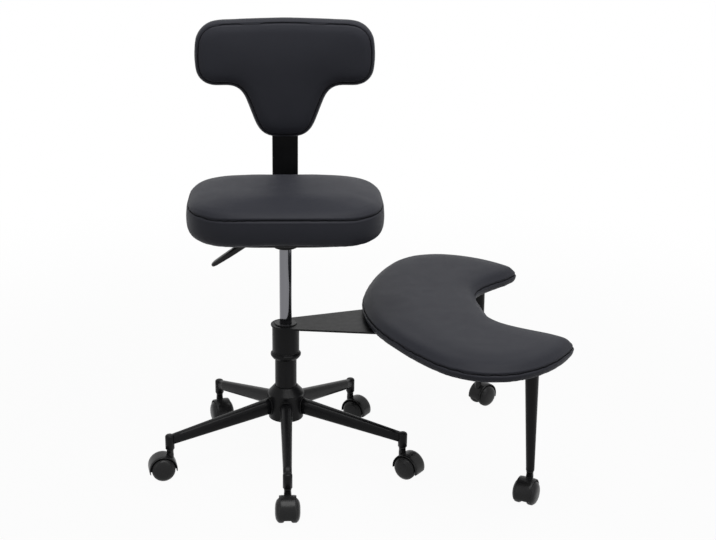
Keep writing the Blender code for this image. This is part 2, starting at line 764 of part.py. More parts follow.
def build_column(axis, finishes):
    """Outer column, its guide bush, collar, thrust bearing and clip."""
    steel = finishes["black_steel"]
    hole = ROD_RADIUS + FIT
    bore = COLUMN_RADIUS - COLUMN_WALL
    floor = COLUMN_Z + COLUMN_END_WALL
    column = revolve([
        (bore, COLUMN_TOP), (COLUMN_RADIUS, COLUMN_TOP), (COLUMN_RADIUS, COLUMN_Z),
        (hole, COLUMN_Z), (hole, floor), (bore, floor),
    ], TURN_STEPS)
    place("column_tube", as_mesh(column, "column_tube"), steel, axis)
    lip = COLUMN_TOP + FIT
    bush = revolve([
        (CYLINDER_RADIUS + FIT, lip + BUSH_LIP), (COLUMN_RADIUS - BUSH_LIP, lip + BUSH_LIP),
        (COLUMN_RADIUS, lip), (bore - FIT, lip), (bore - FIT, lip - BUSH_LENGTH),
        (CYLINDER_RADIUS + FIT, lip - BUSH_LENGTH),
    ], TURN_STEPS)
    place("guide_bush", as_mesh(bush, "guide_bush"), finishes["nylon"], axis)
    collar_bore = [(COLUMN_RADIUS + FIT, COLLAR_Z), (COLUMN_RADIUS + FIT, COLLAR_Z + COLLAR_HEIGHT)]
    belly = [(COLLAR_RADIUS - drawn_in, COLLAR_Z + rise) for drawn_in, rise in COLLAR_SHAPE]
    collar = revolve(belly + collar_bore, TURN_STEPS)
    place("support_collar", as_mesh(collar, "support_collar"), steel, axis)
    bearing = tube(hole, BEARING_RADIUS, floor + FIT, floor + FIT + BEARING_HEIGHT, ROD_STEPS)
    place("thrust_bearing", as_mesh(bearing, "thrust_bearing"), finishes["bright_steel"], axis)
    clip = tube(hole, CLIP_RADIUS, COLUMN_Z - FIT - CLIP_HEIGHT, COLUMN_Z - FIT, ROD_STEPS)
    place("retaining_clip", as_mesh(clip, "retaining_clip"), finishes["bright_steel"], axis)


# Gas spring


def cylinder_radius(height):
    """Outer radius of the gas cylinder, tapered where the cup grips it."""
    share = (height - CUP_Z) / (CYLINDER_TOP - CUP_Z)
    return CYLINDER_RADIUS - CYLINDER_TAPER * min(1.0, max(0.0, share))


def build_gas_spring(axis, finishes):
    """Piston rod, cylinder and release pin."""
    piston_z = CYLINDER_Z + CYLINDER_GUIDE + PISTON_LIFT
    bore = CYLINDER_RADIUS - CYLINDER_WALL
    shoulder = ROD_SEAT_Z + ROD_SHOULDER_HEIGHT
    low = COLUMN_Z - CLIP_HEIGHT - ROD_END
    piston = revolve([
        (0.0, piston_z + PISTON_HEIGHT), (bore - FIT, piston_z + PISTON_HEIGHT), (bore - FIT, piston_z),
        (ROD_RADIUS, piston_z), (ROD_RADIUS, shoulder), (ROD_RADIUS + ROD_SHOULDER, shoulder),
        (ROD_RADIUS + ROD_SHOULDER, ROD_SEAT_Z), (ROD_RADIUS, ROD_SEAT_Z), (ROD_RADIUS, low), (0.0, low),
    ], ROD_STEPS)
    place("piston_rod", as_mesh(piston, "piston_rod"), finishes["bright_steel"], axis)
    pin_hole = RELEASE_RADIUS + FIT
    pin_low = RELEASE_TOP - RELEASE_LENGTH
    cylinder = revolve([
        (pin_hole, CYLINDER_TOP), (cylinder_radius(CYLINDER_TOP), CYLINDER_TOP), (CYLINDER_RADIUS, CUP_Z),
        (CYLINDER_RADIUS, CYLINDER_Z), (ROD_RADIUS + FIT, CYLINDER_Z),
        (ROD_RADIUS + FIT, CYLINDER_Z + CYLINDER_GUIDE), (bore, CYLINDER_Z + CYLINDER_GUIDE),
        (bore, CYLINDER_Z + CYLINDER_GUIDE + GAS_ROOM), (0.0, CYLINDER_Z + CYLINDER_GUIDE + GAS_ROOM),
        (0.0, pin_low - RELEASE_ROOM), (pin_hole, pin_low - RELEASE_ROOM),
    ], CYLINDER_STEPS)
    place("gas_cylinder", as_mesh(cylinder, "gas_cylinder"), finishes["chrome"], axis)
    pin = rod(RELEASE_RADIUS, pin_low, RELEASE_TOP, RELEASE_STEPS)
    place("release_pin", as_mesh(pin, "release_pin"), finishes["bright_steel"], axis)


# Seat


def seat_outline():
    """Seat in plan, sides slightly bowed."""
    points = superellipse(SEAT_WIDTH / 2.0, SEAT_DEPTH / 2.0, SEAT_SQUARENESS, SEAT_STEPS)
    return [(x, y + SEAT_SHIFT) for x, y in points]


def seat_screw_points():
    """Screws that hold the seat plate's flanges to the seat board."""
    level = SEAT_Z - CHANNEL_WALL
    return [(x, y, level) for x in (-SEAT_SCREW_OUT, SEAT_SCREW_OUT) for y in (-SEAT_SCREW_FRONT, SEAT_SCREW_REAR)]


def bar_screw_points():
    """Screws that hold the back post in the channel."""
    return [(0.0, y, CHANNEL_Z) for y in BAR_SCREW_OUT]


def across(radius, half, steps):
    """Round bar along Y at the lever's pivot."""
    turn = Matrix.Translation((-PIVOT_OUT, 0.0, PIVOT_Z)) @ Matrix.Rotation(math.pi / 2.0, 4, "X")
    return moved(rod(radius, -half, half, steps), turn)


def lug(side):
    """Tab that stands on the channel's web and carries one end of the lever's pin."""
    near = side * LUG_INNER
    far = side * (LUG_INNER + LUG_WALL)
    left = -PIVOT_OUT - LUG_HALF_WIDTH
    right = -PIVOT_OUT + LUG_HALF_WIDTH
    base = [(left, near), (right, near), (right, far), (left, far)]
    return prism(base, WEB_TOP - CHANNEL_WALL / 2.0, PIVOT_Z + LUG_RISE)


def build_seat_plate(axis, finishes):
    """Pressed channel under the seat, the cup that grips the gas cylinder, and the lever's pin."""
    steel = finishes["black_steel"]
    wide = CHANNEL_HALF_WIDTH
    wall = CHANNEL_WALL
    reach = wide + FLANGE_REACH
    section = [
        (-reach, SEAT_Z), (-reach, SEAT_Z - wall), (-wide, SEAT_Z - wall), (-wide, CHANNEL_Z),
        (wide, CHANNEL_Z), (wide, SEAT_Z - wall), (reach, SEAT_Z - wall), (reach, SEAT_Z),
        (wide - wall, SEAT_Z), (wide - wall, WEB_TOP), (wall - wide, WEB_TOP), (wall - wide, SEAT_Z),
    ]
    stand = Matrix.Rotation(math.pi / 2.0, 4, "X")
    channel = moved(prism(section, -CHANNEL_REAR, CHANNEL_FRONT), stand)
    mouth = rod(cylinder_radius(CHANNEL_Z) + FIT, CHANNEL_Z - wall, WEB_TOP + wall, CYLINDER_STEPS)
    slot_low = WEB_TOP + FIT
    slot = prism([
        (-wide - wall, -LEVER_SLOT_HALF), (wall * 2.0 - wide, -LEVER_SLOT_HALF),
        (wall * 2.0 - wide, LEVER_SLOT_HALF), (-wide - wall, LEVER_SLOT_HALF),
    ], slot_low, SEAT_Z - wall - FIT)
    tools = [("UNION", lug(side)) for side in (-1.0, 1.0)]
    tools += [
        ("DIFFERENCE", across(PIVOT_RADIUS + FIT, LUG_INNER + 2.0 * LUG_WALL, SCREW_STEPS)),
        ("DIFFERENCE", mouth),
        ("DIFFERENCE", slot),
        ("DIFFERENCE", screw_holes(seat_screw_points(), -wall, 2.0 * wall)),
        ("DIFFERENCE", screw_holes(bar_screw_points(), -wall, 2.0 * wall)),
    ]
    place("seat_plate", combined(channel, tools, "seat_plate"), steel, axis)
    cup = revolve([
        (cylinder_radius(CUP_Z + CUP_HEIGHT) + FIT, CUP_Z + CUP_HEIGHT), (CUP_RADIUS, CUP_Z + CUP_HEIGHT),
        (CUP_RADIUS, CUP_Z + CUP_ROUND), (CUP_RADIUS - ARC_MIDDLE * CUP_ROUND, CUP_Z + ARC_MIDDLE * CUP_ROUND),
        (CUP_RADIUS - CUP_ROUND, CUP_Z), (cylinder_radius(CUP_Z) + FIT, CUP_Z),
    ], CYLINDER_STEPS)
    place("taper_cup", as_mesh(cup, "taper_cup"), steel, axis)


def build_lever(axis, finishes):
    """Release lever on the sitter's right, and the pin that it rocks on."""
    guide = empty("lever_axis", axis, (-PIVOT_OUT, 0.0, PIVOT_Z))
    home = Matrix.Translation((PIVOT_OUT, 0.0, -PIVOT_Z))
    slope = math.radians(PADDLE_SLOPE)
    along = Vector((-math.cos(slope), 0.0, -math.sin(slope)))
    knee = Vector((-LEVER_KNEE_OUT, 0.0, PIVOT_Z - LEVER_KNEE_DROP))
    start = knee + along * (PADDLE_START_OUT - LEVER_KNEE_OUT)
    stop = start + along * PADDLE_SOCKET
    path = [
        Vector((LEVER_NOSE, 0.0, LEVER_NOSE_Z)), Vector((-LEVER_NOSE, 0.0, LEVER_NOSE_Z)),
        Vector((-PIVOT_OUT, 0.0, PIVOT_Z)), knee, stop,
    ]
    bar = bent_bar(path, LEVER_RADIUS, LEVER_STEPS)
    eye = across(PIVOT_EYE, PIVOT_EYE_WIDTH / 2.0, EYE_STEPS)
    bore = across(PIVOT_RADIUS + FIT, PIVOT_EYE_WIDTH, SCREW_STEPS)
    lever = combined(bar, [("UNION", eye), ("DIFFERENCE", bore)], "lever_rod")
    lever.transform(home)
    place("lever_rod", lever, finishes["bright_steel"], guide)
    socket = bent_bar([start - along * OVERCUT, stop + along * FIT], LEVER_RADIUS + FIT, LEVER_STEPS)
    paddle = combined(paddle_body(start, along), [("DIFFERENCE", socket)], "lever_paddle")
    paddle.transform(home)
    place("lever_paddle", paddle, finishes["nylon"], guide)
    pivot = across(PIVOT_RADIUS, LUG_INNER + LUG_WALL + PIVOT_PROUD, SCREW_STEPS)
    place("lever_pin", as_mesh(pivot, "lever_pin"), finishes["bright_steel"], axis)


def bent_bar(path, radius, steps):
    """Round bar along a path in the XZ plane, mitred at its bends."""
    rings = []
    for i, point in enumerate(path):
        before = (point - path[i - 1]).normalized() if i else None
        after = (path[i + 1] - point).normalized() if i + 1 < len(path) else None
        before = before or after
        after = after or before
        heading = (before + after).normalized()
        normal = Vector((-heading.z, 0.0, heading.x)) / heading.dot(after)
        ring = []
        for k in range(steps):
            angle = 2.0 * math.pi * (k + 0.5) / steps
            offset = normal * math.cos(angle) + Vector((0.0, math.sin(angle), 0.0))
            ring.append(point + offset * radius)
        rings.append(ring)
    return loft(rings)


def paddle_body(start, along):
    """Moulded grip that widens from its neck and thins to a rounded tip."""
    normal = Vector((-along.z, 0.0, along.x))
    rings = []
    for share, width, thickness in PADDLE_SECTIONS:
        middle = start + along * (PADDLE_LENGTH * share)
        section = superellipse(thickness / 2.0, width / 2.0, PADDLE_SQUARENESS, PADDLE_STEPS)
        rings.append([middle + normal * a + Vector((0.0, b, 0.0)) for a, b in section])
    return loft(rings)


def build_seat(axis, finishes):
    """Seat board and its cushion."""
    outline = seat_outline()
    board = prism(inset(outline, SEAT_RIM + FIT), SEAT_BOARD_Z, SEAT_BOARD_Z + SEAT_BOARD)
    place("seat_board", as_mesh(board, "seat_board"), finishes["lined_board"], axis)
    side = seamed_side(SEAT_SIDE, SEAT_SEAM, SEAT_SEAM_INSET, SEAT_SHOULDER, SEAT_THICKNESS)
    pad = cushion(outline, side, SEAT_CROWN, SEAT_CROWN_REACH, SEAT_CUT, SEAT_RIM, SEAT_BOARD + FIT)
    place("seat_cushion", as_mesh(pad, "seat_cushion"), finishes["leather"], axis, (0.0, 0.0, SEAT_BOARD_Z))


# Back


def back_outline():
    """T-shaped back seen from the front, x and height, counter-clockwise."""
    top = BACK_HEIGHT
    arm = BACK_HEIGHT - BACK_ARM
    right = [
        (BACK_STEM_END, 0.0, BACK_END_ROUND), (BACK_STEM_TOP, arm, BACK_NECK_ROUND),
        (BACK_HALF_WIDTH, arm, BACK_ARM_ROUND), (BACK_HALF_WIDTH, top - BACK_ARCH, BACK_TOP_ROUND),
    ]
    left = [(-x, y, radius) for x, y, radius in reversed(right)]
    crest = [(0.0, top, BACK_HALF_WIDTH)]
    return divided(filleted(right + crest + left, BACK_ARC_STEP), BACK_CUT)


def back_screw_points():
    """Screws from the post into the back board, as x and height on the board."""
    return [(x, rise) for x in (-BACK_SCREW_SPREAD, BACK_SCREW_SPREAD) for rise in BACK_SCREW_RISE]


def upright():
    """Transform from the flat pad, face up, to the back, face towards -Y."""
    return Matrix.Translation((0.0, BACK_FACE, BACK_Z)) @ Matrix.Rotation(math.pi / 2.0, 4, "X")


def hug(mesh):
    """Bend the back's wings forward."""
    for vertex in mesh.vertices:
        vertex.co.y -= BACK_BEND * (vertex.co.x / BACK_HALF_WIDTH) ** 2
    return mesh


def bar_section():
    """Post section across its width, with a pressed rib on the rear."""
    half = BAR_WIDTH / 2.0
    rib = BAR_RIB_WIDTH / 2.0
    edge = BAR_THICKNESS / 3.0
    low = [(-half, edge), (-half, BAR_THICKNESS - edge), (edge - half, BAR_THICKNESS)]
    crown = [(-rib, BAR_THICKNESS), (BAR_RIB - rib, BAR_THICKNESS + BAR_RIB)]
    return [(edge - half, 0.0)] + low + crown


def build_back_bar(axis, finishes):
    """J-shaped post from the channel to the back board."""
    left = bar_section()
    section = left + [(-x, t) for x, t in reversed(left)]
    centre_y = BAR_FACE - BAR_BEND
    centre_z = BAR_LOW + BAR_BEND + BAR_THICKNESS + BAR_RIB
    radius = BAR_BEND
    stations = [(BAR_START, centre_z - radius, 0.0)]
    for i in range(BAR_BEND_STEPS + 1):
        angle = math.pi / 2.0 * i / BAR_BEND_STEPS
        stations.append((centre_y + radius * math.sin(angle), centre_z - radius * math.cos(angle), angle))
    stations.append((BAR_FACE, SEAT_Z + BAR_TOP_RISE, math.pi / 2.0))
    rings = []
    for y, z, angle in stations:
        rings.append([(x, y + t * math.sin(angle), z - t * math.cos(angle)) for x, t in section])
    bar = loft(rings)
    lift = BAR_THICKNESS + BAR_RIB
    low_holes = screw_holes(bar_screw_points(), 0.0, CHANNEL_WALL + lift + 3.0 * FIT)
    board_points = [(x, rise, 0.0) for x, rise in back_screw_points()]
    back_holes = moved(screw_holes(board_points, -2.0 * lift, lift), upright())
    tools = [("DIFFERENCE", low_holes), ("DIFFERENCE", back_holes)]
    place("back_bar", combined(bar, tools, "back_bar"), finishes["black_steel"], axis)


def build_back(axis, finishes):
    """Back board and its cushion."""
    outline = back_outline()
    panel = as_mesh(slab(inset(outline, BACK_RIM + FIT), BACK_BOARD, BACK_CUT), "back_board")
    panel.transform(upright())
    place("back_board", hug(panel), finishes["lined_board"], axis)
    side = seamed_side(BACK_SIDE, BACK_SEAM, BACK_SEAM_INSET, BACK_SHOULDER, BACK_THICKNESS)
    body = cushion(outline, side, BACK_CROWN, BACK_CROWN_REACH, BACK_CUT, BACK_RIM, BACK_BOARD + FIT)
    pad = as_mesh(body, "back_cushion")
    pad.transform(upright())
    place("back_cushion", hug(pad), finishes["leather"], axis)


# Footrest


def crescent():
    """Footrest outline: distance out from the column and spread to either side."""
    span = PAD_TIP - PAD_BACK
    half = PAD_HALF_LENGTH
    back = (
        (0.023, 0.246), (0.099, 0.500), (0.194, 0.723), (0.299, 0.889), (0.420, 0.979),
        (0.564, 1.000), (0.695, 0.964), (0.813, 0.884), (0.908, 0.785),
    )
    notch = ((0.769, 0.513), (0.520, 0.443), (0.313, 0.380), (0.150, 0.314), (0.050, 0.241), (0.007, 0.143))
    side = [(PAD_BACK + out * span, spread * half) for out, spread in back]
    for angle in PAD_TIP_ANGLES:
        turn = math.radians(angle)
        out = PAD_TIP - PAD_TIP_ROUND * (1.0 - math.cos(turn))
        side.append((out, PAD_TIP_SPREAD + PAD_TIP_ROUND * math.sin(turn)))
    side += [(PAD_NOTCH + out * (PAD_TIP - PAD_NOTCH), spread * half) for out, spread in notch]
    mirror = [(out, -spread) for out, spread in side]
    points = [(PAD_BACK, 0.0)] + mirror + [(PAD_NOTCH, 0.0)] + side[::-1]
    return smooth_outline(points, PAD_CUT)


def plate_outline():
    """Arm plate: a round nose at the column, flaring to a wide end under the pad."""
    spread = math.radians(PLATE_SPREAD_ANGLE)
    first = math.pi / 2.0 + spread
    last = 3.0 * math.pi / 2.0 - spread
    nose = []
    for i in range(PLATE_NOSE_STEPS + 1):
        angle = first + (last - first) * i / PLATE_NOSE_STEPS
        nose.append((PLATE_NOSE * math.cos(angle), PLATE_NOSE * math.sin(angle)))
    half = PLATE_NOSE / math.cos(spread) + PLATE_REACH * math.tan(spread)
    return nose + [(PLATE_REACH, -half), (PLATE_REACH, half)]


def plate_screw_points():
    """Screw holes where the arm plate is held to the footrest board."""
    points = []
    for out, spread in zip(PLATE_SCREW_OUT, PLATE_SCREW_SPREAD):
        points += [(out, side * spread, PLATE_Z) for side in (-1.0, 1.0)]
    return points


def foot_leg_mesh():
    """Tapered leg, splayed outwards, with a round flange at the top and a caster socket at the foot."""
    top = FOOT_BOARD_Z - FIT
    under = top - FOOT_FLANGE
    profile = [
        (0.0, top), (FOOT_FLANGE_RADIUS, top), (FOOT_FLANGE_RADIUS, under), (FOOT_LEG_TOP_RADIUS, under),
        (FOOT_LEG_END_RADIUS, SOCKET_Z + FOOT_LEG_COLLAR), (FOOT_LEG_END_RADIUS, SOCKET_Z),
        (STEM_RADIUS + FIT, SOCKET_Z), (STEM_RADIUS + FIT, STEM_TOP + FIT), (0.0, STEM_TOP + FIT),
    ]
    holes = []
    for i in range(FOOT_SCREW_COUNT):
        angle = 2.0 * math.pi * (i + 0.5) / FOOT_SCREW_COUNT
        spot = (FOOT_SCREW_CIRCLE * math.cos(angle), FOOT_SCREW_CIRCLE * math.sin(angle), under)
        holes.append(spot)
    cutter = screw_holes(holes, -FOOT_FLANGE, 2.0 * FOOT_FLANGE)
    leg = combined(revolve(profile, FOOT_LEG_STEPS), [("DIFFERENCE", cutter)], "footrest_leg")
    for vertex in leg.vertices:
        if vertex.co.z > under - WELD:
            vertex.co.x -= FOOT_LEG_SPLAY
    return leg


def build_footrest(swing, finishes):
    """Swivel sleeve, arm plate, board, pad and legs."""
    steel = finishes["black_steel"]
    outer = SLEEVE_BORE + SLEEVE_WALL
    sleeve = tube(SLEEVE_BORE, outer, SLEEVE_Z, SLEEVE_TOP, TURN_STEPS)
    place("swivel_sleeve", as_mesh(sleeve, "swivel_sleeve"), steel, swing)
    bore = COLUMN_RADIUS + FIT
    wall = bore + SLEEVE_BUSH_WALL
    lower = revolve([
        (bore, SLEEVE_Z + SLEEVE_BUSH_LENGTH), (wall, SLEEVE_Z + SLEEVE_BUSH_LENGTH),
        (wall, SLEEVE_Z - FIT), (outer, SLEEVE_Z - FIT), (outer, BUSH_Z), (bore, BUSH_Z),
    ], TURN_STEPS)
    upper = tube(bore, wall, SLEEVE_TOP - SLEEVE_BUSH_LENGTH, SLEEVE_TOP, TURN_STEPS)
    for name, bush in (("sleeve_bush_lower", lower), ("sleeve_bush_upper", upper)):
        place(name, as_mesh(bush, name), finishes["nylon"], swing)
    hole = rod(COLUMN_RADIUS + PLATE_HOLE_GAP, PLATE_Z - PLATE_THICKNESS, PLATE_TOP + PLATE_THICKNESS, TURN_STEPS)
    cutter = screw_holes(plate_screw_points(), -PLATE_THICKNESS, 2.0 * PLATE_THICKNESS)
    tools = [("DIFFERENCE", hole), ("DIFFERENCE", cutter)]
    plate = combined(prism(plate_outline(), PLATE_Z, PLATE_TOP), tools, "arm_plate")
    place("arm_plate", plate, steel, swing)
    build_pad(swing, finishes)
    leg = foot_leg_mesh()
    for name, side in (("front", -1.0), ("rear", 1.0)):
        place("footrest_leg_" + name, leg, steel, swing, (FOOT_LEG_OUT, side * FOOT_LEG_SPREAD, 0.0))


def build_pad(swing, finishes):
    """Footrest board with its pad."""
    outline = crescent()
    board = prism(inset(outline, PAD_RIM + FIT), FOOT_BOARD_Z, FOOT_BOARD_Z + FOOT_BOARD)
    place("footrest_board", as_mesh(board, "footrest_board"), finishes["lined_board"], swing)
    side = seamed_side(PAD_SIDE, PAD_SEAM, PAD_SEAM_INSET, PAD_SHOULDER, PAD_THICKNESS)
    pad = cushion(outline, side, PAD_CROWN, PAD_CROWN_REACH, PAD_CUT, PAD_RIM, FOOT_BOARD + FIT)
    place("footrest_pad", as_mesh(pad, "footrest_pad"), finishes["leather"], swing, (0.0, 0.0, FOOT_BOARD_Z))


def caster_places(axis, swing):
    """Number, parent, position and rest turn of every caster."""
    places = []
    for i in range(LEG_COUNT):
        angle = math.radians(LEG_FIRST_ANGLE + 360.0 * i / LEG_COUNT)
        spot = (STEM_CIRCLE * math.cos(angle), STEM_CIRCLE * math.sin(angle))
        places.append((i + 1, axis, spot, BASE_CASTER_TURNS[i]))
    for i, side in enumerate((-1.0, 1.0)):
        spot = (FOOT_LEG_OUT, side * FOOT_LEG_SPREAD)
        places.append((LEG_COUNT + i + 1, swing, spot, FOOT_CASTER_TURNS[i] - FOOTREST_TURN))
    return places


def main():
    """Build every piece of the chair."""
    clear_scene()
    finishes = {
        "leather": material("leather", (0.032, 0.032, 0.036), 0.48, 0.0),
        "black_steel": material("black_steel", (0.012, 0.012, 0.013), 0.42, 0.0),
        "bright_steel": material("bright_steel", (0.55, 0.55, 0.56), 0.35, 1.0),
        "chrome": material("chrome", (0.78, 0.78, 0.79), 0.12, 1.0),
        "nylon": material("nylon", (0.016, 0.016, 0.017), 0.38, 0.0),
        "tread": material("tread", (0.020, 0.020, 0.021), 0.45, 0.0),
        "lined_board": material("lined_board", (0.018, 0.018, 0.019), 0.85, 0.0),
    }
    axis = empty("column_axis", None, (COLUMN_X, COLUMN_Y, 0.0))
    swing = empty("footrest_axis", axis, turn=FOOTREST_TURN)
    build_base(axis, finishes)
    build_gas_spring(axis, finishes)
    build_seat_plate(axis, finishes)
    build_lever(axis, finishes)
    build_seat(axis, finishes)
    build_back_bar(axis, finishes)
    build_back(axis, finishes)
    build_footrest(swing, finishes)
    build_casters(caster_places(axis, swing), finishes)
    bpy.context.view_layer.update()


main()
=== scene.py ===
"""Looks of the office chair for sitting cross-legged: leather cushions, casters, steel and the studio."""

import math

import bmesh
import bpy
import numpy as np
from mathutils import Matrix, Vector
from mathutils.bvhtree import BVHTree
from mathutils.kdtree import KDTree


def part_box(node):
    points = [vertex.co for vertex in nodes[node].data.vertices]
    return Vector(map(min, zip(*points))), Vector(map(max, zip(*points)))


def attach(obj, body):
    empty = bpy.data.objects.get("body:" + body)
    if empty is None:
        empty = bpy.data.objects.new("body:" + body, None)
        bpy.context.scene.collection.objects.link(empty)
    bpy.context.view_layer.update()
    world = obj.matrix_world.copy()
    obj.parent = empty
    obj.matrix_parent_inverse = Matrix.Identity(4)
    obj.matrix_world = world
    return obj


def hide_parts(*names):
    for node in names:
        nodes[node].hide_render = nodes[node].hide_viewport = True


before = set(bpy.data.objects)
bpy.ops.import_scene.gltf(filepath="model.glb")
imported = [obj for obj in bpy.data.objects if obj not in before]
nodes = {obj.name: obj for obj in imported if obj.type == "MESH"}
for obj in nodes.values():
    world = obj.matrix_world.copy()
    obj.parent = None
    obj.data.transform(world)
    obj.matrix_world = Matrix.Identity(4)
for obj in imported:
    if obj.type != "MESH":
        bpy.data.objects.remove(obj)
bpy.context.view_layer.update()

# Camera: pixels of the picture, millimetres of the sensor, metres and radians
IMAGE_WIDTH = 716.0
FOCAL_PIXELS = 1300.0
PRINCIPAL_X = 308.08
SENSOR_WIDTH = 36.0
CAMERA_BACK = 2.791
CAMERA_HEIGHT = 1.4138
CAMERA_TILT = -0.3251
CAMERA_TURN = -0.0183
CAMERA_ROLL = 0.0025

# Places on the chair
COLUMN_X = -0.1515
COLUMN_Y = -0.0366
FOOTREST_TURN = 5.0
SEAT_BOARD_Z = 0.5762
CUP_Z = 0.5276
FOOT_BOARD_Z = 0.3437
BACK_FACE = 0.2182
BACK_Z = 0.7374
BACK_BEND = 0.020
BACK_HALF_WIDTH = 0.206

# How meshes are made
MERGE = 0.000001
WELD = 0.00001
EDGE_ANGLE = 34.0
SIDES = (-1.0, 1.0)

# Surfaces
TONE_RAMP = (0.34, 0.68)
RUBBED_SCALE = 5.0
WANDER_SCALE = 260.0
WANDER_REACH = 0.0022
PEBBLE_SCALE = 720.0
PEBBLE_EDGE = 0.22
PORE_SCALE = 2600.0
PORE_SHARE = 0.25
FIBRE_SCALE = 900.0

# Cushion making
VOXEL = 0.0048
LEVEL_SLACK = 0.0002
OUTLINE_STEP = 0.004
OUTLINE_ROUNDS = 5
SPLINE_PARTS = 12
BLOCK_EVENING = (0.5, 8)
COVER_EVENING = (0.4, 3)
SIM_FRAMES = 20
SIM_PRESSURE = 4.0
PIN_REACH = 0.005
FOAM_ROUNDS = 60
LOW_EDGE = 0.0012
BOARD_SHOWS = 0.0010
LIFT_REACH = 0.02
SEAM_STEP = 0.0012
SEAM_ROUNDS = 40
SEAM_DEPTH = 0.0030
SEAM_WIDTH = 0.0022
SEAM_LIP = 0.0005
SEAM_LIP_OUT = 0.0050
SEAM_LIP_WIDTH = 0.0022
# Dark cord of painted shade in each seam's crease; the stitches use the same number of sides
SHADE_CORD_RADIUS = 0.0008
SHADE_CORD_SPREAD = 4
SHADE_CORD_AND_STITCH_SIDES = 6
STITCH_STEP = 0.0004
STITCH_LENGTH = 0.0040
STITCH_PITCH = 0.0054
STITCH_OUT = 0.0042
STITCH_RADIUS = 0.00032
STITCH_SHAPE = ((0.0, -0.5, 0.6), (0.12, 0.7, 1.0), (0.5, 1.1, 1.05), (0.88, 0.7, 1.0), (1.0, -0.5, 0.6))

# Seat cushion's seam, which dips near the front corners, and its lower edge
DIP_DEPTH = 0.0035
DIP_OUT = 0.150
DIP_WIDTH = 0.045
DIP_FADE = 0.12
LIFT_MIDDLE = 0.0052
LIFT_MIDDLE_WIDTH = 0.085
LIFT_CORNER = 0.0018
LIFT_CORNER_OUT = 0.14
LIFT_CORNER_WIDTH = 0.05
LIFT_START = 0.08
LIFT_FADE = 0.06

# Sides of the cushions, as inset and height
SEAT_SIDE = (
    (0.0200, 0.0), (0.0100, 0.0040), (0.0040, 0.0125), (0.0012, 0.0240), (0.0004, 0.0360),
    (0.0008, 0.0480), (0.0018, 0.0580), (0.0034, 0.0660), (0.0068, 0.0732), (0.0124, 0.0786),
    (0.0225, 0.0819), (0.0370, 0.0831),
)
BACK_SIDE = (
    (0.0095, 0.0), (0.0032, 0.0050), (0.0008, 0.0120), (0.0002, 0.0200), (0.0010, 0.0290), (0.0036, 0.0368),
    (0.0078, 0.0418), (0.0128, 0.0446), (0.0180, 0.0464), (0.0250, 0.0474),
)
FOOT_SIDE = (
    (0.0030, 0.0), (0.0006, 0.0035), (-0.0004, 0.0085), (-0.0004, 0.0140), (0.0000, 0.0190), (0.0022, 0.0228),
    (0.0064, 0.0262), (0.0108, 0.0306), (0.0152, 0.0344), (0.0220, 0.0362),
)

# Caster hoods
CASTER_TRAIL = 0.018
HOOD_RADIUS = 0.0328
HOOD_INNER = 0.0300
HOOD_HALF = 0.019
HOOD_ROUND = 0.0006
HOOD_CAMBER = 0.0009
HOOD_ACROSS = 8
HOOD_INNER_SIDES = (0.0182, 0.009, 0.0, -0.009, -0.0182)
HOOD_FRONT = -15.0
HOOD_BACK = 187.0
HOOD_STEPS = 36
HOOD_ENDS = ((1.6, 0.55), (0.8, 0.9))
WEB_HALF = 0.00625
WEB_RADIUS = 0.0314
WEB_EDGE = 0.0006
WEB_SHRINK = 0.97
WEB_STEPS = 32
WEB_FOOT = ((-0.0115, -0.0088), (-0.009, -0.0100), (0.009, -0.0100), (0.0115, -0.0088))
BOSS_RADIUS = 0.0083
BOSS_TOP = 0.0717
BOSS_STEPS = 32

# Caster wheels, their profile as radius and distance out from the web; the first rows are tread
WHEEL_RADIUS = 0.027
WHEEL_GAP = 0.00705
WHEEL_STEPS = 56
WHEEL_PROFILE = (
    (0.0045, 0.0), (0.0230, 0.0), (0.0245, 0.0006), (0.0258, 0.0018), (0.0267, 0.0034),
    (0.0270, 0.0050), (0.0270, 0.0096), (0.0268, 0.0112), (0.0263, 0.0126), (0.0259, 0.0132),
    (0.0255, 0.0132), (0.0252, 0.0139), (0.0245, 0.0148), (0.0232, 0.0160), (0.0212, 0.0174),
    (0.0183, 0.0187), (0.0148, 0.0196), (0.0110, 0.0202), (0.0065, 0.0205), (0.0006, 0.0206),
)
TREAD_ROWS = 10

# Where the casters stand, and how each one is turned
STEM_CIRCLE = 0.281
LEG_FIRST_ANGLE = -89.4
LEG_COUNT = 5
LEG_PITCH = 360.0 / LEG_COUNT
BASE_CASTER_TURNS = (-90.0, -38.0, -34.0, -70.0, 192.0)
FOOT_CASTER_TURNS = (-120.0, 38.0)
FOOT_LEG_OUT = 0.5215
FOOT_LEG_TOP_OUT = 0.511
FOOT_LEG_SPREAD = 0.252461
CASTER_COUNT = 7

# Base legs
SOCKET_Z = 0.072
SOCKET_LENGTH = 0.035
SOCKET_RADIUS = 0.0105
SOCKET_STEPS = 40
LEG_ROOT = 0.0408
LEG_END = 0.274
LEG_ROOT_HALF = (0.01425, 0.0185)
LEG_TIP_HALF = (0.0094, 0.0120)
LEG_ROOT_Z = 0.143
LEG_TIP_Z = 0.095
LEG_SQUARENESS = 2.8
LEG_SIDES = 40
LEG_STATIONS = 12
BEAD_RADIUS = 0.0018
BEAD_RIPPLES = 26
BEAD_RIPPLE = 0.22
BEAD_GAP = 0.0004
BEAD_LIFT = 0.0003
BEAD_SIDES = 8
BEAD_STEPS = 104

# Gas cylinder
CYLINDER_RADIUS = 0.0140
CYLINDER_TOP_RADIUS = 0.0132
CYLINDER_STEPS = 72
CYLINDER_EDGE = 0.0004

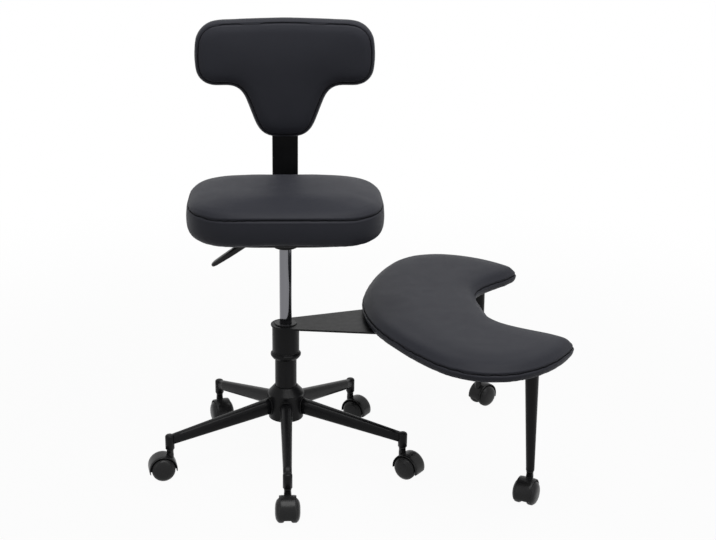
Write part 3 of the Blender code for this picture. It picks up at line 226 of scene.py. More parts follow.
# Lever grip, its sections as share of the length, width and thickness
PADDLE_START = (-0.0846, 0.54003)
PADDLE_LENGTH = 0.098
PADDLE_SLOPE = 34.0
PADDLE_SQUARENESS = 3.0
PADDLE_SIDES = 32
PADDLE_SECTIONS = (
    (0.0, 0.0150, 0.0130), (0.02, 0.0170, 0.0150), (0.28, 0.0180, 0.0150), (0.38, 0.0205, 0.0147),
    (0.48, 0.0230, 0.0142), (0.70, 0.0240, 0.0128), (0.90, 0.0220, 0.0108), (0.97, 0.0180, 0.0085),
    (1.0, 0.0120, 0.0055),
)
PADDLE_NECK = (0.0, 0.01, 0.02)
PADDLE_TIP = (0.975, 0.985, 0.995, 1.0)
GROOVE_DEPTH = 0.00045
GROOVE_START = 0.60
GROOVE_END = 0.86
GROOVE_PITCH = 0.052
GROOVE_FADE = 2.2

# Screws, their heads as radius and height, their sockets as half width and height
SCREW_HEAD = (
    (0.0030, -0.0030), (0.0030, 0.0), (0.0052, 0.0), (0.0053, 0.0004), (0.0050, 0.0013), (0.0043, 0.0021),
    (0.0033, 0.0026), (0.0023, 0.0027),
)
SCREW_SOCKET = ((0.00165, 0.0026), (0.00160, 0.0010))
SCREW_STEPS = 24
SEAT_SCREW_OUT = 0.064
SEAT_SCREW_ROWS = (-0.050, 0.090)
SEAT_SCREW_Z = 0.5734
BAR_SCREW_ROWS = (0.056, 0.094)
BAR_SCREW_Z = 0.5479
BACK_SCREW_OUT = 0.018
BACK_SCREW_RISES = (0.050, 0.130)
BACK_SCREW_Y = 0.2245
PLATE_SCREWS = ((0.235, 0.048), (0.372, 0.070))
FOOT_SCREW_COUNT = 4
FOOT_SCREW_CIRCLE = 0.0245
FOOT_SCREW_Z = 0.3394

# Studio
WHITE = (1.0, 1.0, 1.0, 1.0)
WORLD_SOFT = 0.17
FLOOR_RADIUS = 14.0
FLOOR_STEPS = 96
FLOOR_DROP = 0.0002
FLOOR_GLOW = 0.955
FLOOR_FADE = (0.8, 2.4)
FLOOR_TONE = 0.40
FLOOR_ROUGHNESS = 0.9
SOFTBOXES = (
    ("overhead", (0.3, -0.75, 3.1), (0.1, 0.0, 0.4), 2.6, 2.2, 92.0),
    ("left_box", (-2.33, -1.80, 1.3), (-0.1, 0.0, 0.5), 0.8, 2.2, 6.0),
    ("right_box", (2.03, -1.80, 1.3), (-0.1, 0.0, 0.5), 0.8, 2.2, 6.0),
)


# Small helpers


def link(obj):
    """Put an object into the scene."""
    bpy.context.scene.collection.objects.link(obj)
    return obj


def shade_smooth(mesh):
    """Smooth shading on every face."""
    for polygon in mesh.polygons:
        polygon.use_smooth = True


def mesh_object(name, bm, slot, finish_name=None):
    """Smooth-shaded object from a bmesh, with the material named by slot, or by finish_name if given."""
    bmesh.ops.recalc_face_normals(bm, faces=bm.faces)
    mesh = bpy.data.meshes.new(name)
    bm.to_mesh(mesh)
    bm.free()
    shade_smooth(mesh)
    obj = link(bpy.data.objects.new(name, mesh))
    mesh.materials.append(finishes[finish_name or slot])
    return obj


def set_in_place(name, first, placing, body, node=None):
    """Put the first of several like pieces, or a copy of it, on its body."""
    piece = first
    if name != first.name:
        piece = link(bpy.data.objects.new(name, first.data))
    piece.matrix_world = placing
    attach(piece, body)
    if node:
        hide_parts(node)


def add_rings(bm, rings, close_ends=True):
    """Skin over rings of equal length; returns the rings' vertices."""
    made = [[bm.verts.new(point) for point in ring] for ring in rings]
    count = len(made[0])
    for low, high in zip(made, made[1:]):
        for i in range(count):
            j = (i + 1) % count
            bm.faces.new((low[i], low[j], high[j], high[i]))
    if close_ends:
        bm.faces.new(made[0][::-1])
        bm.faces.new(made[-1])
    return made


def circle(radius, height, steps):
    """Points of a level circle round +Z."""
    angles = [2.0 * math.pi * i / steps for i in range(steps)]
    return [Vector((radius * math.cos(angle), radius * math.sin(angle), height)) for angle in angles]


def add_revolved(bm, profile, steps, placing=Matrix.Identity(4)):
    """Turn a profile of radius and height round +Z and close its ends."""
    rings = []
    for radius, height in profile:
        rings.append([placing @ point for point in circle(radius, height, steps)])
    return add_rings(bm, rings)


def superellipse(half_width, half_height, power, steps):
    """Points of a squared oval."""
    points = []
    for i in range(steps):
        angle = 2.0 * math.pi * i / steps
        c = math.cos(angle)
        s = math.sin(angle)
        x = half_width * math.copysign(abs(c) ** (2.0 / power), c)
        y = half_height * math.copysign(abs(s) ** (2.0 / power), s)
        points.append((x, y))
    return points


def turned(x, y, turn):
    """Place on the floor, turned about +Z by degrees."""
    return Matrix.Translation((x, y, 0.0)) @ Matrix.Rotation(math.radians(turn), 4, "Z")


def foot_point(out, spread, height):
    """Point of the footrest, given by distance out from the column and spread to the side."""
    turn = math.radians(FOOTREST_TURN)
    x = COLUMN_X + out * math.cos(turn) - spread * math.sin(turn)
    y = COLUMN_Y + out * math.sin(turn) + spread * math.cos(turn)
    return Vector((x, y, height))


def bell(distance, width):
    """Smooth bell, 1 at the middle."""
    return np.exp(-((distance / width) ** 2))


# Materials


def add_node(tree, kind, inputs=None, **settings):
    """Shader node with its settings and unlinked inputs."""
    made = tree.nodes.new(kind)
    for key, value in settings.items():
        setattr(made, key, value)
    for key, value in (inputs or {}).items():
        made.inputs[key].default_value = value
    return made


def add_noise(tree, place, scale, detail, **inputs):
    """Noise over the piece's own coordinates."""
    made = add_node(tree, "ShaderNodeTexNoise", {"Scale": scale, "Detail": detail, **inputs})
    tree.links.new(place.outputs["Vector"], made.inputs["Vector"])
    return made


def surface(name, tones, tone_scale, roughness, gloss=0.5, metallic=0.0, stretch=(1.0, 1.0, 1.0)):
    """Material whose tone and roughness vary over the surface; returns what the grain is added to."""
    made = bpy.data.materials.new(name)
    made.use_nodes = True
    tree = made.node_tree
    shader = tree.nodes["Principled BSDF"]
    shader.inputs["Metallic"].default_value = metallic
    shader.inputs["Specular IOR Level"].default_value = gloss
    coords = add_node(tree, "ShaderNodeTexCoord")
    place = add_node(tree, "ShaderNodeMapping", {"Scale": stretch})
    tree.links.new(coords.outputs["Object"], place.inputs["Vector"])
    broad = add_noise(tree, place, tone_scale, 4.0, Roughness=0.55)
    ramp = add_node(tree, "ShaderNodeValToRGB")
    for element, position, tone in zip(ramp.color_ramp.elements, TONE_RAMP, tones):
        element.position = position
        element.color = (*tone, 1.0)
    tree.links.new(broad.outputs["Fac"], ramp.inputs["Fac"])
    tree.links.new(ramp.outputs["Color"], shader.inputs["Base Color"])
    rubbed = add_noise(tree, place, tone_scale * RUBBED_SCALE, 5.0)
    polish = add_node(tree, "ShaderNodeMapRange", {
        "From Min": 0.3, "From Max": 0.7, "To Min": roughness[0], "To Max": roughness[1],
    })
    tree.links.new(rubbed.outputs["Fac"], polish.inputs["Value"])
    tree.links.new(polish.outputs["Result"], shader.inputs["Roughness"])
    return made, tree, shader, place


def add_bump(tree, shader, height, strength, distance):
    """Drive the shading normal by a height."""
    bump = add_node(tree, "ShaderNodeBump", {"Strength": strength, "Distance": distance})
    tree.links.new(height, bump.inputs["Height"])
    tree.links.new(bump.outputs["Normal"], shader.inputs["Normal"])


def leather_material():
    """Charcoal leather with a pebbled grain of about a millimetre."""
    made, tree, shader, place = surface(
        "leather", ((0.0202, 0.0210, 0.0267), (0.0223, 0.0231, 0.0291)), 7.0, (0.50, 0.54), gloss=0.105)
    wander = add_noise(tree, place, WANDER_SCALE, 2.0)
    shift = add_node(tree, "ShaderNodeVectorMath", {1: (WANDER_REACH,) * 3}, operation="MULTIPLY_ADD")
    tree.links.new(wander.outputs["Color"], shift.inputs[0])
    tree.links.new(place.outputs["Vector"], shift.inputs[2])
    cells = add_node(tree, "ShaderNodeTexVoronoi", {"Scale": PEBBLE_SCALE}, feature="DISTANCE_TO_EDGE")
    tree.links.new(shift.outputs["Vector"], cells.inputs["Vector"])
    pebble = add_node(tree, "ShaderNodeMapRange", {
        "From Min": 0.0, "From Max": PEBBLE_EDGE,
    }, interpolation_type="SMOOTHSTEP")
    tree.links.new(cells.outputs["Distance"], pebble.inputs["Value"])
    pores = add_noise(tree, place, PORE_SCALE, 2.0)
    height = add_node(tree, "ShaderNodeMath", {1: PORE_SHARE}, operation="MULTIPLY_ADD")
    tree.links.new(pores.outputs["Fac"], height.inputs[0])
    tree.links.new(pebble.outputs["Result"], height.inputs[2])
    add_bump(tree, shader, height.outputs["Value"], 0.30, 0.00022)
    return made


def lining_material():
    """Black non-woven lining on the boards."""
    made, tree, shader, place = surface(
        "lined_board", ((0.010, 0.010, 0.011), (0.020, 0.020, 0.021)), 60.0, (0.80, 0.95))
    shader.inputs["Sheen Weight"].default_value = 0.15
    fibre = add_noise(tree, place, FIBRE_SCALE, 4.0, Distortion=2.5)
    add_bump(tree, shader, fibre.outputs["Fac"], 0.5, 0.0003)
    return made


def plain_material(name, grain, **settings):
    """Material with a fine even grain, as of a coat of powder or a moulded skin."""
    made, tree, shader, place = surface(name, **settings)
    scale, strength, distance = grain
    skin = add_noise(tree, place, scale, 3.0, Roughness=0.6)
    add_bump(tree, shader, skin.outputs["Fac"], strength, distance)
    return made


PLAIN_FINISHES = {
    "black_steel": {
        "tones": ((0.0056, 0.0056, 0.0062), (0.0078, 0.0078, 0.0086)), "tone_scale": 14.0,
        "roughness": (0.30, 0.38), "gloss": 0.115, "grain": (1300.0, 0.16, 0.00012),
    },
    "bright_steel": {
        "tones": ((0.42, 0.42, 0.43), (0.56, 0.56, 0.57)), "tone_scale": 40.0, "roughness": (0.22, 0.34),
        "metallic": 1.0, "stretch": (1.0, 1.0, 0.15), "grain": (1500.0, 0.10, 0.00006),
    },
    # Tones held far darker than bare chrome: painted shade, standing in for the shadow and dark reflections
    # of the cylinder under the seat.
    "chrome": {
        "tones": ((0.15, 0.15, 0.165), (0.19, 0.19, 0.205)), "tone_scale": 30.0, "roughness": (0.07, 0.13),
        "metallic": 1.0, "stretch": (1.0, 1.0, 0.05), "grain": (700.0, 0.03, 0.00003),
    },
    "nylon": {
        "tones": ((0.0095, 0.0095, 0.0100), (0.0135, 0.0135, 0.0142)), "tone_scale": 30.0,
        "roughness": (0.26, 0.36), "gloss": 0.20, "grain": (1700.0, 0.14, 0.00010),
    },
    "tread": {
        "tones": ((0.0150, 0.0150, 0.0155), (0.0215, 0.0215, 0.0220)), "tone_scale": 40.0,
        "roughness": (0.44, 0.58), "gloss": 0.16, "grain": (1100.0, 0.25, 0.00016),
    },
    # Near-black finish of the cord laid in the seams' creases: painted shade, standing for the crease's
    # shadow.
    "crease_shade_cord": {
        "tones": ((0.0030, 0.0030, 0.0034), (0.0050, 0.0050, 0.0056)), "tone_scale": 90.0,
        "roughness": (0.80, 0.92), "gloss": 0.05, "grain": (2400.0, 0.30, 0.00012),
    },
}


def make_finishes():
    """Every material by its name."""
    made = {"leather": leather_material(), "lined_board": lining_material()}
    for name, settings in PLAIN_FINISHES.items():
        made[name] = plain_material(name, **settings)
    return made


finishes = make_finishes()


# Cushions


def raised_frame(board_height):
    """Maps from the chair to a frame with heights counted from a board's underside, and back."""

    def flatten(point):
        return Vector((point.x, point.y, point.z - board_height))

    def back_to_chair(point):
        return Vector((point.x, point.y, point.z + board_height))

    return flatten, back_to_chair


def flat_back(point):
    """Back point laid flat, face up, with its wings unbent."""
    x = point.x - COLUMN_X
    bend = BACK_BEND * (x / BACK_HALF_WIDTH) ** 2
    return Vector((x, point.z - BACK_Z, COLUMN_Y + BACK_FACE - bend - point.y))


def round_back(point):
    """Back from the flat frame to the chair, wings bent forward."""
    bend = BACK_BEND * (point.x / BACK_HALF_WIDTH) ** 2
    return Vector((COLUMN_X + point.x, COLUMN_Y + BACK_FACE - bend - point.z, BACK_Z + point.y))


def outline_at(node, height, flatten):
    """Closed outline of a cushion solid at one height, in the order of its edges."""
    mesh = nodes[node].data
    keys = {}
    for vertex in mesh.vertices:
        flat = flatten(vertex.co)
        if abs(flat.z - height) < LEVEL_SLACK:
            keys[vertex.index] = (round(flat.x, 4), round(flat.y, 4))
    neighbours = {}
    for edge in mesh.edges:
        a, b = edge.vertices
        if a in keys and b in keys and keys[a] != keys[b]:
            neighbours.setdefault(keys[a], set()).add(keys[b])
            neighbours.setdefault(keys[b], set()).add(keys[a])
    first = min(neighbours)
    chain = [first]
    seen = {first}
    while True:
        following = sorted(n for n in neighbours[chain[-1]] if n not in seen)
        if not following:
            break
        chain.append(following[0])
        seen.add(following[0])
    area = sum(a[0] * b[1] - b[0] * a[1] for a, b in zip(chain, chain[1:] + chain[:1]))
    if area < 0.0:
        chain.reverse()
    return [Vector(point) for point in chain]


def spline_part(p0, p1, p2, p3, share):
    """Point of a centripetal spline between p1 and p2."""
    t1 = (p1 - p0).length ** 0.5
    t2 = t1 + (p2 - p1).length ** 0.5
    t3 = t2 + (p3 - p2).length ** 0.5
    t = t1 + (t2 - t1) * share
    a1 = p0 * ((t1 - t) / t1) + p1 * (t / t1)
    a2 = p1 * ((t2 - t) / (t2 - t1)) + p2 * ((t - t1) / (t2 - t1))
    a3 = p2 * ((t3 - t) / (t3 - t2)) + p3 * ((t - t2) / (t3 - t2))
    b1 = a1 * ((t2 - t) / t2) + a2 * (t / t2)
    b2 = a2 * ((t3 - t) / (t3 - t1)) + a3 * ((t - t1) / (t3 - t1))
    return b1 * ((t2 - t) / (t2 - t1)) + b2 * ((t - t1) / (t2 - t1))


def even_loop(points, spacing):
    """Evenly spaced points along a closed chain."""
    loop = np.array([tuple(p) for p in points + points[:1]])
    lengths = np.linalg.norm(np.diff(loop, axis=0), axis=1)
    travel = np.concatenate([[0.0], np.cumsum(lengths)])
    count = max(8, int(round(travel[-1] / spacing)))
    marks = np.linspace(0.0, travel[-1], count, endpoint=False)
    columns = [np.interp(marks, travel, loop[:, k]) for k in range(loop.shape[1])]
    return np.stack(columns, axis=1)


def smooth_loop(points, spacing):
    """Evenly spaced points on a smooth closed curve through the given ones."""
    count = len(points)
    dense = []
    for i in range(count):
        p0, p1, p2, p3 = (points[(i + k) % count] for k in (-1, 0, 1, 2))
        dense += [spline_part(p0, p1, p2, p3, j / SPLINE_PARTS) for j in range(SPLINE_PARTS)]
    return even_loop(dense, spacing)


def eased(loop, rounds):
    """Closed loop of points with its small kinks averaged out."""
    for _ in range(rounds):
        loop = (np.roll(loop, 1, axis=0) + 2.0 * loop + np.roll(loop, -1, axis=0)) / 4.0
    return loop


def inward(loop):
    """Unit normals of a counter-clockwise loop, towards its inside."""
    along = np.roll(loop, -1, axis=0) - np.roll(loop, 1, axis=0)
    along /= np.linalg.norm(along, axis=1)[:, None]
    return np.stack([-along[:, 1], along[:, 0]], axis=1)


def start_shape(loop, side):
    """Closed block over an outline, its side given as inset and height."""
    bm = bmesh.new()
    normals = inward(loop)
    rings = []
    for distance, height in side:
        ring = loop + normals * distance
        rings.append([(x, y, height) for x, y in ring])
    add_rings(bm, rings)
    bmesh.ops.triangulate(bm, faces=[f for f in bm.faces if len(f.verts) > 4])
    bmesh.ops.recalc_face_normals(bm, faces=bm.faces)
    mesh = bpy.data.meshes.new("start")
    bm.to_mesh(mesh)
    bm.free()
    return mesh


def evaluated(obj):
    """Mesh of an object with its modifiers applied."""
    graph = bpy.context.evaluated_depsgraph_get()
    return bpy.data.meshes.new_from_object(obj.evaluated_get(graph))


def take_modifiers(obj):
    """Apply all modifiers of an object to its mesh."""
    mesh = evaluated(obj)
    obj.modifiers.clear()
    obj.data = mesh


def places(mesh):
    """Vertex positions as an array."""
    flat = np.empty(len(mesh.vertices) * 3, np.float64)
    mesh.vertices.foreach_get("co", flat)
    return flat.reshape(-1, 3)


def set_places(mesh, points):
    """Write vertex positions back."""
    mesh.vertices.foreach_set("co", points.astype(np.float32).ravel())
    mesh.update()


def facing(mesh):
    """Vertex normals as an array."""
    flat = np.empty(len(mesh.vertices) * 3, np.float32)
    mesh.vertex_normals.foreach_get("vector", flat)
    return flat.reshape(-1, 3).astype(np.float64)


def distances(points, line):
    """Distance of each point to a densely sampled line."""
    tree = KDTree(len(line))
    for i, sample in enumerate(line):
        tree.insert(sample, i)
    tree.balance()
    return np.array([tree.find(p)[2] for p in points])


def surface_tree(mesh):
    """Search tree for the nearest place on a mesh."""
    return BVHTree.FromPolygons([v.co for v in mesh.vertices], [p.vertices for p in mesh.polygons])


def even_field(mesh, field, held):
    """Average a field of moves over neighbours, as the foam under the cover takes out wrinkles."""
    ends = np.empty(len(mesh.edges) * 2, np.int32)
    mesh.edges.foreach_get("vertices", ends)
    ends = np.concatenate([ends.reshape(-1, 2), ends.reshape(-1, 2)[:, ::-1]])
    count = np.bincount(ends[:, 0], minlength=len(field))[:, None]
    for _ in range(FOAM_ROUNDS):
        total = np.stack([
            np.bincount(ends[:, 0], weights=field[ends[:, 1], k], minlength=len(field)) for k in range(3)
        ], axis=1)
        field = (field + total / count) / 2.0
        field[held] = 0.0
    return field


def swell(obj, held, cap):
    """Blow the cover up by a cloth simulation, keeping the held points, and apply the result."""
    group = obj.vertex_groups.new(name="held")
    for index in np.nonzero(held)[0]:
        group.add([int(index)], 1.0, "REPLACE")
    cloth = obj.modifiers.new("cloth", "CLOTH")
    settings = cloth.settings
    settings.quality = 5
    settings.mass = 0.3
    settings.tension_stiffness = 18.0
    settings.compression_stiffness = 18.0
    settings.shear_stiffness = 8.0
    settings.bending_stiffness = 4.0
    settings.use_pressure = True
    settings.uniform_pressure_force = SIM_PRESSURE
    settings.vertex_group_mass = "held"
    settings.effector_weights.gravity = 0.0
    cloth.collision_settings.use_collision = False
    scene = bpy.context.scene
    before = places(obj.data)
    for number in range(1, SIM_FRAMES + 1):
        scene.frame_set(number)
    mesh = evaluated(obj)
    move = places(mesh) - before
    bpy.data.meshes.remove(mesh)
    length = np.linalg.norm(move, axis=1)
    move *= (np.minimum(length, cap) / np.maximum(length, 1e-9))[:, None]
    move = even_field(obj.data, move, held)
    obj.modifiers.clear()
    obj.vertex_groups.clear()
    set_places(obj.data, before + move)
    scene.frame_set(1)


def relax(obj, factor, times):
    """Even out the steps that the voxels leave, with the flat underside kept flat."""
    even = obj.modifiers.new("even", "SMOOTH")
    even.factor = factor
    even.iterations = times
    low = places(obj.data)[:, 2] < LOW_EDGE
    take_modifiers(obj)
    points = places(obj.data)
    points[low, 2] = 0.0
    set_places(obj.data, points)


def seam_line(obj, loop, height, dip):
    """Points of a sewn seam on the cushion's surface, a millimetre or so apart."""
    tree = BVHTree.FromObject(obj, bpy.context.evaluated_depsgraph_get())
    line = []
    for x, y in loop:
        spot = Vector((x, y, height - dip(x, y)))
        line.append(tree.find_nearest(spot)[0])
    return [Vector(p) for p in eased(even_loop(line, SEAM_STEP), SEAM_ROUNDS)]


def press_seam(mesh, line):
    """Draw the cover in along a seam, with a slight swell on both sides."""
    points = places(mesh)
    distance = distances(points, line)
    shape = SEAM_LIP * bell(distance - SEAM_LIP_OUT, SEAM_LIP_WIDTH)
    shape = shape - SEAM_DEPTH * bell(distance, SEAM_WIDTH)
    set_places(mesh, points + facing(mesh) * shape[:, None])


def lay_crease_shade_cord(name, mesh, line, back_to_chair):
    """Dark cord laid in the crease of a seam: painted shade, standing for the crease's shadow."""
    tree = surface_tree(mesh)
    found = [tree.find_nearest(spot) for spot in line]
    raw = np.array([tuple(place) for place, _, _, _ in found])
    normals = np.array([tuple(normal) for _, normal, _, _ in found])
    shifts = range(-SHADE_CORD_SPREAD, SHADE_CORD_SPREAD + 1)
    middle = sum(np.roll(raw, k, axis=0) for k in shifts) / len(shifts)
    up = sum(np.roll(normals, k, axis=0) for k in shifts)
    along = np.roll(middle, -1, axis=0) - np.roll(middle, 1, axis=0)
    across = np.cross(up, along)
    up /= np.linalg.norm(up, axis=1)[:, None]
    across /= np.linalg.norm(across, axis=1)[:, None]
    rings = []
    for k in range(SHADE_CORD_AND_STITCH_SIDES):
        angle = 2.0 * math.pi * k / SHADE_CORD_AND_STITCH_SIDES
        side = middle + SHADE_CORD_RADIUS * (across * math.cos(angle) + up * math.sin(angle))
        rings.append([back_to_chair(Vector(point)) for point in side])
    bm = bmesh.new()
    add_rings(bm, rings + rings[:1], close_ends=False)
    bmesh.ops.remove_doubles(bm, verts=bm.verts, dist=MERGE)
    return mesh_object(name, bm, "nylon", "crease_shade_cord")


def stitch_row(tree, line):
    """Line beside a seam, above it and towards the cushion's middle."""
    row = []
    count = len(line)
    for i, spot in enumerate(line):
        along = (line[(i + 1) % count] - line[i - 1]).normalized()
        place, normal, _, _ = tree.find_nearest(spot)
        across = normal.cross(along)
        if across.dot(Vector((-along.y, along.x, 1.0))) < 0.0:
            across.negate()
        row.append(tree.find_nearest(place + across * STITCH_OUT)[0])
    return even_loop(row, STITCH_STEP)


def stitching(name, mesh, line, back_to_chair):
    """Row of stitches beside a seam."""
    tree = surface_tree(mesh)
    loop = stitch_row(tree, line)
    length = max(2, int(round(STITCH_LENGTH / STITCH_STEP)))
    pitch = max(length + 1, int(round(STITCH_PITCH / STITCH_STEP)))
    bm = bmesh.new()
    for start in range(0, len(loop) - pitch, pitch):
        first = Vector(loop[start])
        last = Vector(loop[start + length])
        _, up, _, _ = tree.find_nearest((first + last) / 2.0)
        across = up.cross((last - first).normalized())
        rings = []
        for share, rise, thin in STITCH_SHAPE:
            middle = first.lerp(last, share) + up * (rise * STITCH_RADIUS)
            ring = []
            for k in range(SHADE_CORD_AND_STITCH_SIDES):
                angle = 2.0 * math.pi * k / SHADE_CORD_AND_STITCH_SIDES
                offset = across * math.cos(angle) + up * math.sin(angle)
                ring.append(back_to_chair(middle + offset * (STITCH_RADIUS * thin)))
            rings.append(ring)
        add_rings(bm, rings)
    return mesh_object(name, bm, "leather")


def level(x, y):
    """A seam or edge that runs level."""
    return 0.0


def seat_dip(x, y):
    """The seat's seam hangs a little lower near the front corners."""
    across = abs(x - COLUMN_X) - DIP_OUT
    front = max(0.0, min(1.0, (COLUMN_Y - y) / DIP_FADE))
    return DIP_DEPTH * front * bell(across, DIP_WIDTH)


def seat_lift(x, y):
    """The seat's lower edge is drawn up in the middle of the front and hangs a little at the corners."""
    across = abs(x - COLUMN_X)
    front = max(0.0, min(1.0, (COLUMN_Y - LIFT_START - y) / LIFT_FADE))
    middle = LIFT_MIDDLE * bell(across, LIFT_MIDDLE_WIDTH)
    corner = LIFT_CORNER * bell(across - LIFT_CORNER_OUT, LIFT_CORNER_WIDTH)
    return front * (middle - corner)


def cushion_block(name, loop, side, crown, seam_height):
    """Even mesh of a cushion before its cover is blown up, crowned above the seam."""
    obj = link(bpy.data.objects.new(name, start_shape(loop, side)))
    remesh = obj.modifiers.new("remesh", "REMESH")
    remesh.mode = "VOXEL"
    remesh.voxel_size = VOXEL
    take_modifiers(obj)
    points = places(obj.data)
    points[points[:, 2] < LOW_EDGE, 2] = 0.0
    edge = [Vector((x, y, 0.0)) for x, y in loop]
    from_edge = distances([(x, y, 0.0) for x, y, _ in points], edge)
    rise, reach = crown
    thickness = side[-1][1]
    share = np.clip(from_edge / reach, 0.0, 1.0)
    top = np.clip((points[:, 2] - seam_height) / (thickness - seam_height), 0.0, 1.0)
    points[:, 2] += rise * np.sin(share * math.pi / 2.0) * top
    set_places(obj.data, points)
    relax(obj, *BLOCK_EVENING)
    return obj


def move_to_chair(mesh, lift, back_to_chair):
    """Shape the cover's lower edge over its board and bring the mesh from the flat frame to the chair."""
    points = places(mesh)
    points[:, 2] = np.maximum(points[:, 2], 0.0)
    drawn_up = BOARD_SHOWS + np.array([lift(x, y) for x, y, _ in points])
    points[:, 2] += np.clip(1.0 - points[:, 2] / LIFT_REACH, 0.0, 1.0) * drawn_up
    set_places(mesh, np.array([tuple(back_to_chair(Vector(p))) for p in points]))
    bm = bmesh.new()
    bm.from_mesh(mesh)
    bmesh.ops.recalc_face_normals(bm, faces=bm.faces)
    bm.to_mesh(mesh)
    bm.free()


def cushion(node, body, frames, outline_height, side, crown, seam, cap, dip=level, lift=level):
    """Upholstered cushion that stands for a CAD one: swollen cover, pressed seam, a dark cord of painted
    shade in its crease, and stitches.
    """
    name = node + "_cover"
    flatten, back_to_chair = frames
    seam_inset, seam_height = seam
    loop = eased(smooth_loop(outline_at(node, outline_height, flatten), OUTLINE_STEP), OUTLINE_ROUNDS)
    seam_loop = loop + inward(loop) * seam_inset
    obj = cushion_block(name, loop, side, crown, seam_height)
    line = seam_line(obj, seam_loop, seam_height, dip)
    points = places(obj.data)
    held = (points[:, 2] < LOW_EDGE) | (distances(points, line) < PIN_REACH)
    swell(obj, held, cap)
    relax(obj, *COVER_EVENING)
    divide = obj.modifiers.new("divide", "SUBSURF")
    divide.levels = 1
    divide.render_levels = 1
    take_modifiers(obj)
    line = seam_line(obj, seam_loop, seam_height, dip)
    press_seam(obj.data, line)
    # Dark cord of painted shade, standing for the shadow in the seam's crease
    crease_shade_cord = lay_crease_shade_cord(name + "_seam", obj.data, line, back_to_chair)
    stitches = stitching(name + "_stitching", obj.data, line, back_to_chair)
    move_to_chair(obj.data, lift, back_to_chair)
    shade_smooth(obj.data)
    obj.data.materials.clear()
    obj.data.materials.append(finishes["leather"])
    for piece in (obj, crease_shade_cord, stitches):
        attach(piece, body)
    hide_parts(node)


cushion("seat_cushion", "seat", raised_frame(SEAT_BOARD_Z), outline_height=0.033, side=SEAT_SIDE,
        crown=(0.0066, 0.12), seam=(0.0, 0.0660), cap=0.0045, dip=seat_dip, lift=seat_lift)
cushion("back_cushion", "seat", (flat_back, round_back), outline_height=0.017, side=BACK_SIDE,
        crown=(0.0048, 0.06), seam=(0.0088, 0.0424), cap=0.0040)
cushion("footrest_pad", "footrest", raised_frame(FOOT_BOARD_Z), outline_height=0.009, side=FOOT_SIDE,
        crown=(0.0040, 0.06), seam=(0.0, 0.0190), cap=0.0035)


# Casters


def hood_section():
    """Cross-section of the hood's canopy as side offset and radius."""
    outer = []
    for i in range(HOOD_ACROSS + 1):
        side = (2.0 * i / HOOD_ACROSS - 1.0) * (HOOD_HALF - HOOD_ROUND)
        outer.append((side, HOOD_RADIUS - HOOD_CAMBER * abs(side / HOOD_HALF) ** 5))
    right = [(HOOD_HALF, HOOD_RADIUS - 0.0015), (HOOD_HALF - 0.0002, HOOD_INNER + 0.0003)]
    inner = [(side, HOOD_INNER) for side in HOOD_INNER_SIDES]
    left = [(-side, radius) for side, radius in reversed(right)]
    return outer + right + inner + left


def add_canopy(bm):
    """Canopy over the wheels, from front to back, its ends rounded off."""
    section = hood_section()
    middle = (HOOD_RADIUS + HOOD_INNER) / 2.0
    stations = [(HOOD_FRONT - past, full) for past, full in HOOD_ENDS]
    for i in range(HOOD_STEPS + 1):
        stations.append((HOOD_FRONT + (HOOD_BACK - HOOD_FRONT) * i / HOOD_STEPS, 1.0))
    stations += [(HOOD_BACK + past, full) for past, full in reversed(HOOD_ENDS)]
    rings = []
    for degrees, full in stations:
        angle = math.radians(degrees)
        ring = []
        for side, radius in section:
            drawn = middle + (radius - middle) * full
            half = math.copysign(max(0.0, abs(side) - HOOD_ROUND * (1.0 - full)), side)
            x = CASTER_TRAIL + drawn * math.cos(angle)
            ring.append((x, half, WHEEL_RADIUS + drawn * math.sin(angle)))
        rings.append(ring)
    add_rings(bm, rings)


def add_web(bm):
    """Web between the wheels, which carries the axle."""
    outline = []
    for i in range(WEB_STEPS + 1):
        angle = math.radians(HOOD_FRONT + (HOOD_BACK - HOOD_FRONT) * i / WEB_STEPS)
        outline.append((WEB_RADIUS * math.cos(angle), WEB_RADIUS * math.sin(angle)))
    outline += WEB_FOOT
    flat = WEB_HALF - WEB_EDGE
    rings = []
    for side, shrink in ((-WEB_HALF, WEB_SHRINK), (-flat, 1.0), (flat, 1.0), (WEB_HALF, WEB_SHRINK)):
        rings.append([(CASTER_TRAIL + x * shrink, side, WHEEL_RADIUS + z * shrink) for x, z in outline])
    add_rings(bm, rings)


def add_boss(bm):
    """Boss that turns on the stem, from the web up to the leg's socket."""
    foot = WHEEL_RADIUS + math.sqrt(WEB_RADIUS ** 2 - (CASTER_TRAIL + BOSS_RADIUS) ** 2)
    crown = WHEEL_RADIUS + math.sqrt(WEB_RADIUS ** 2 - (CASTER_TRAIL - BOSS_RADIUS) ** 2)
    add_revolved(bm, [
        (0.0008, foot + 0.0005), (BOSS_RADIUS - 0.0008, foot + 0.0005), (BOSS_RADIUS, foot + 0.0015),
        (BOSS_RADIUS, crown + 0.001), (BOSS_RADIUS - 0.0003, crown + 0.004),
        (BOSS_RADIUS - 0.0006, BOSS_TOP - 0.0042), (BOSS_RADIUS, BOSS_TOP - 0.0036),
        (BOSS_RADIUS, BOSS_TOP - 0.0010), (BOSS_RADIUS - 0.0007, BOSS_TOP),
        (0.0046, BOSS_TOP), (0.0008, BOSS_TOP - 0.0001),
    ], BOSS_STEPS)


def hood_mesh():
    """Hood with its web and swivel boss, trailing along +X."""
    bm = bmesh.new()
    add_canopy(bm)
    add_web(bm)
    add_boss(bm)
    return bm


def wheel_mesh(side):
    """Wheel with a narrow tread and a domed cap outside it; its axle lies along Y."""
    bm = bmesh.new()
    outward = Matrix.Rotation(-side * math.pi / 2.0, 4, "X")
    shift = Matrix.Translation((0.0, side * WHEEL_GAP, 0.0))
    rings = add_revolved(bm, WHEEL_PROFILE, WHEEL_STEPS, shift @ outward)
    treads = set()
    for ring in rings[1:TREAD_ROWS]:
        treads.update(ring)
    for face in bm.faces:
        if all(v in treads for v in face.verts):
            face.material_index = 1
    return bm


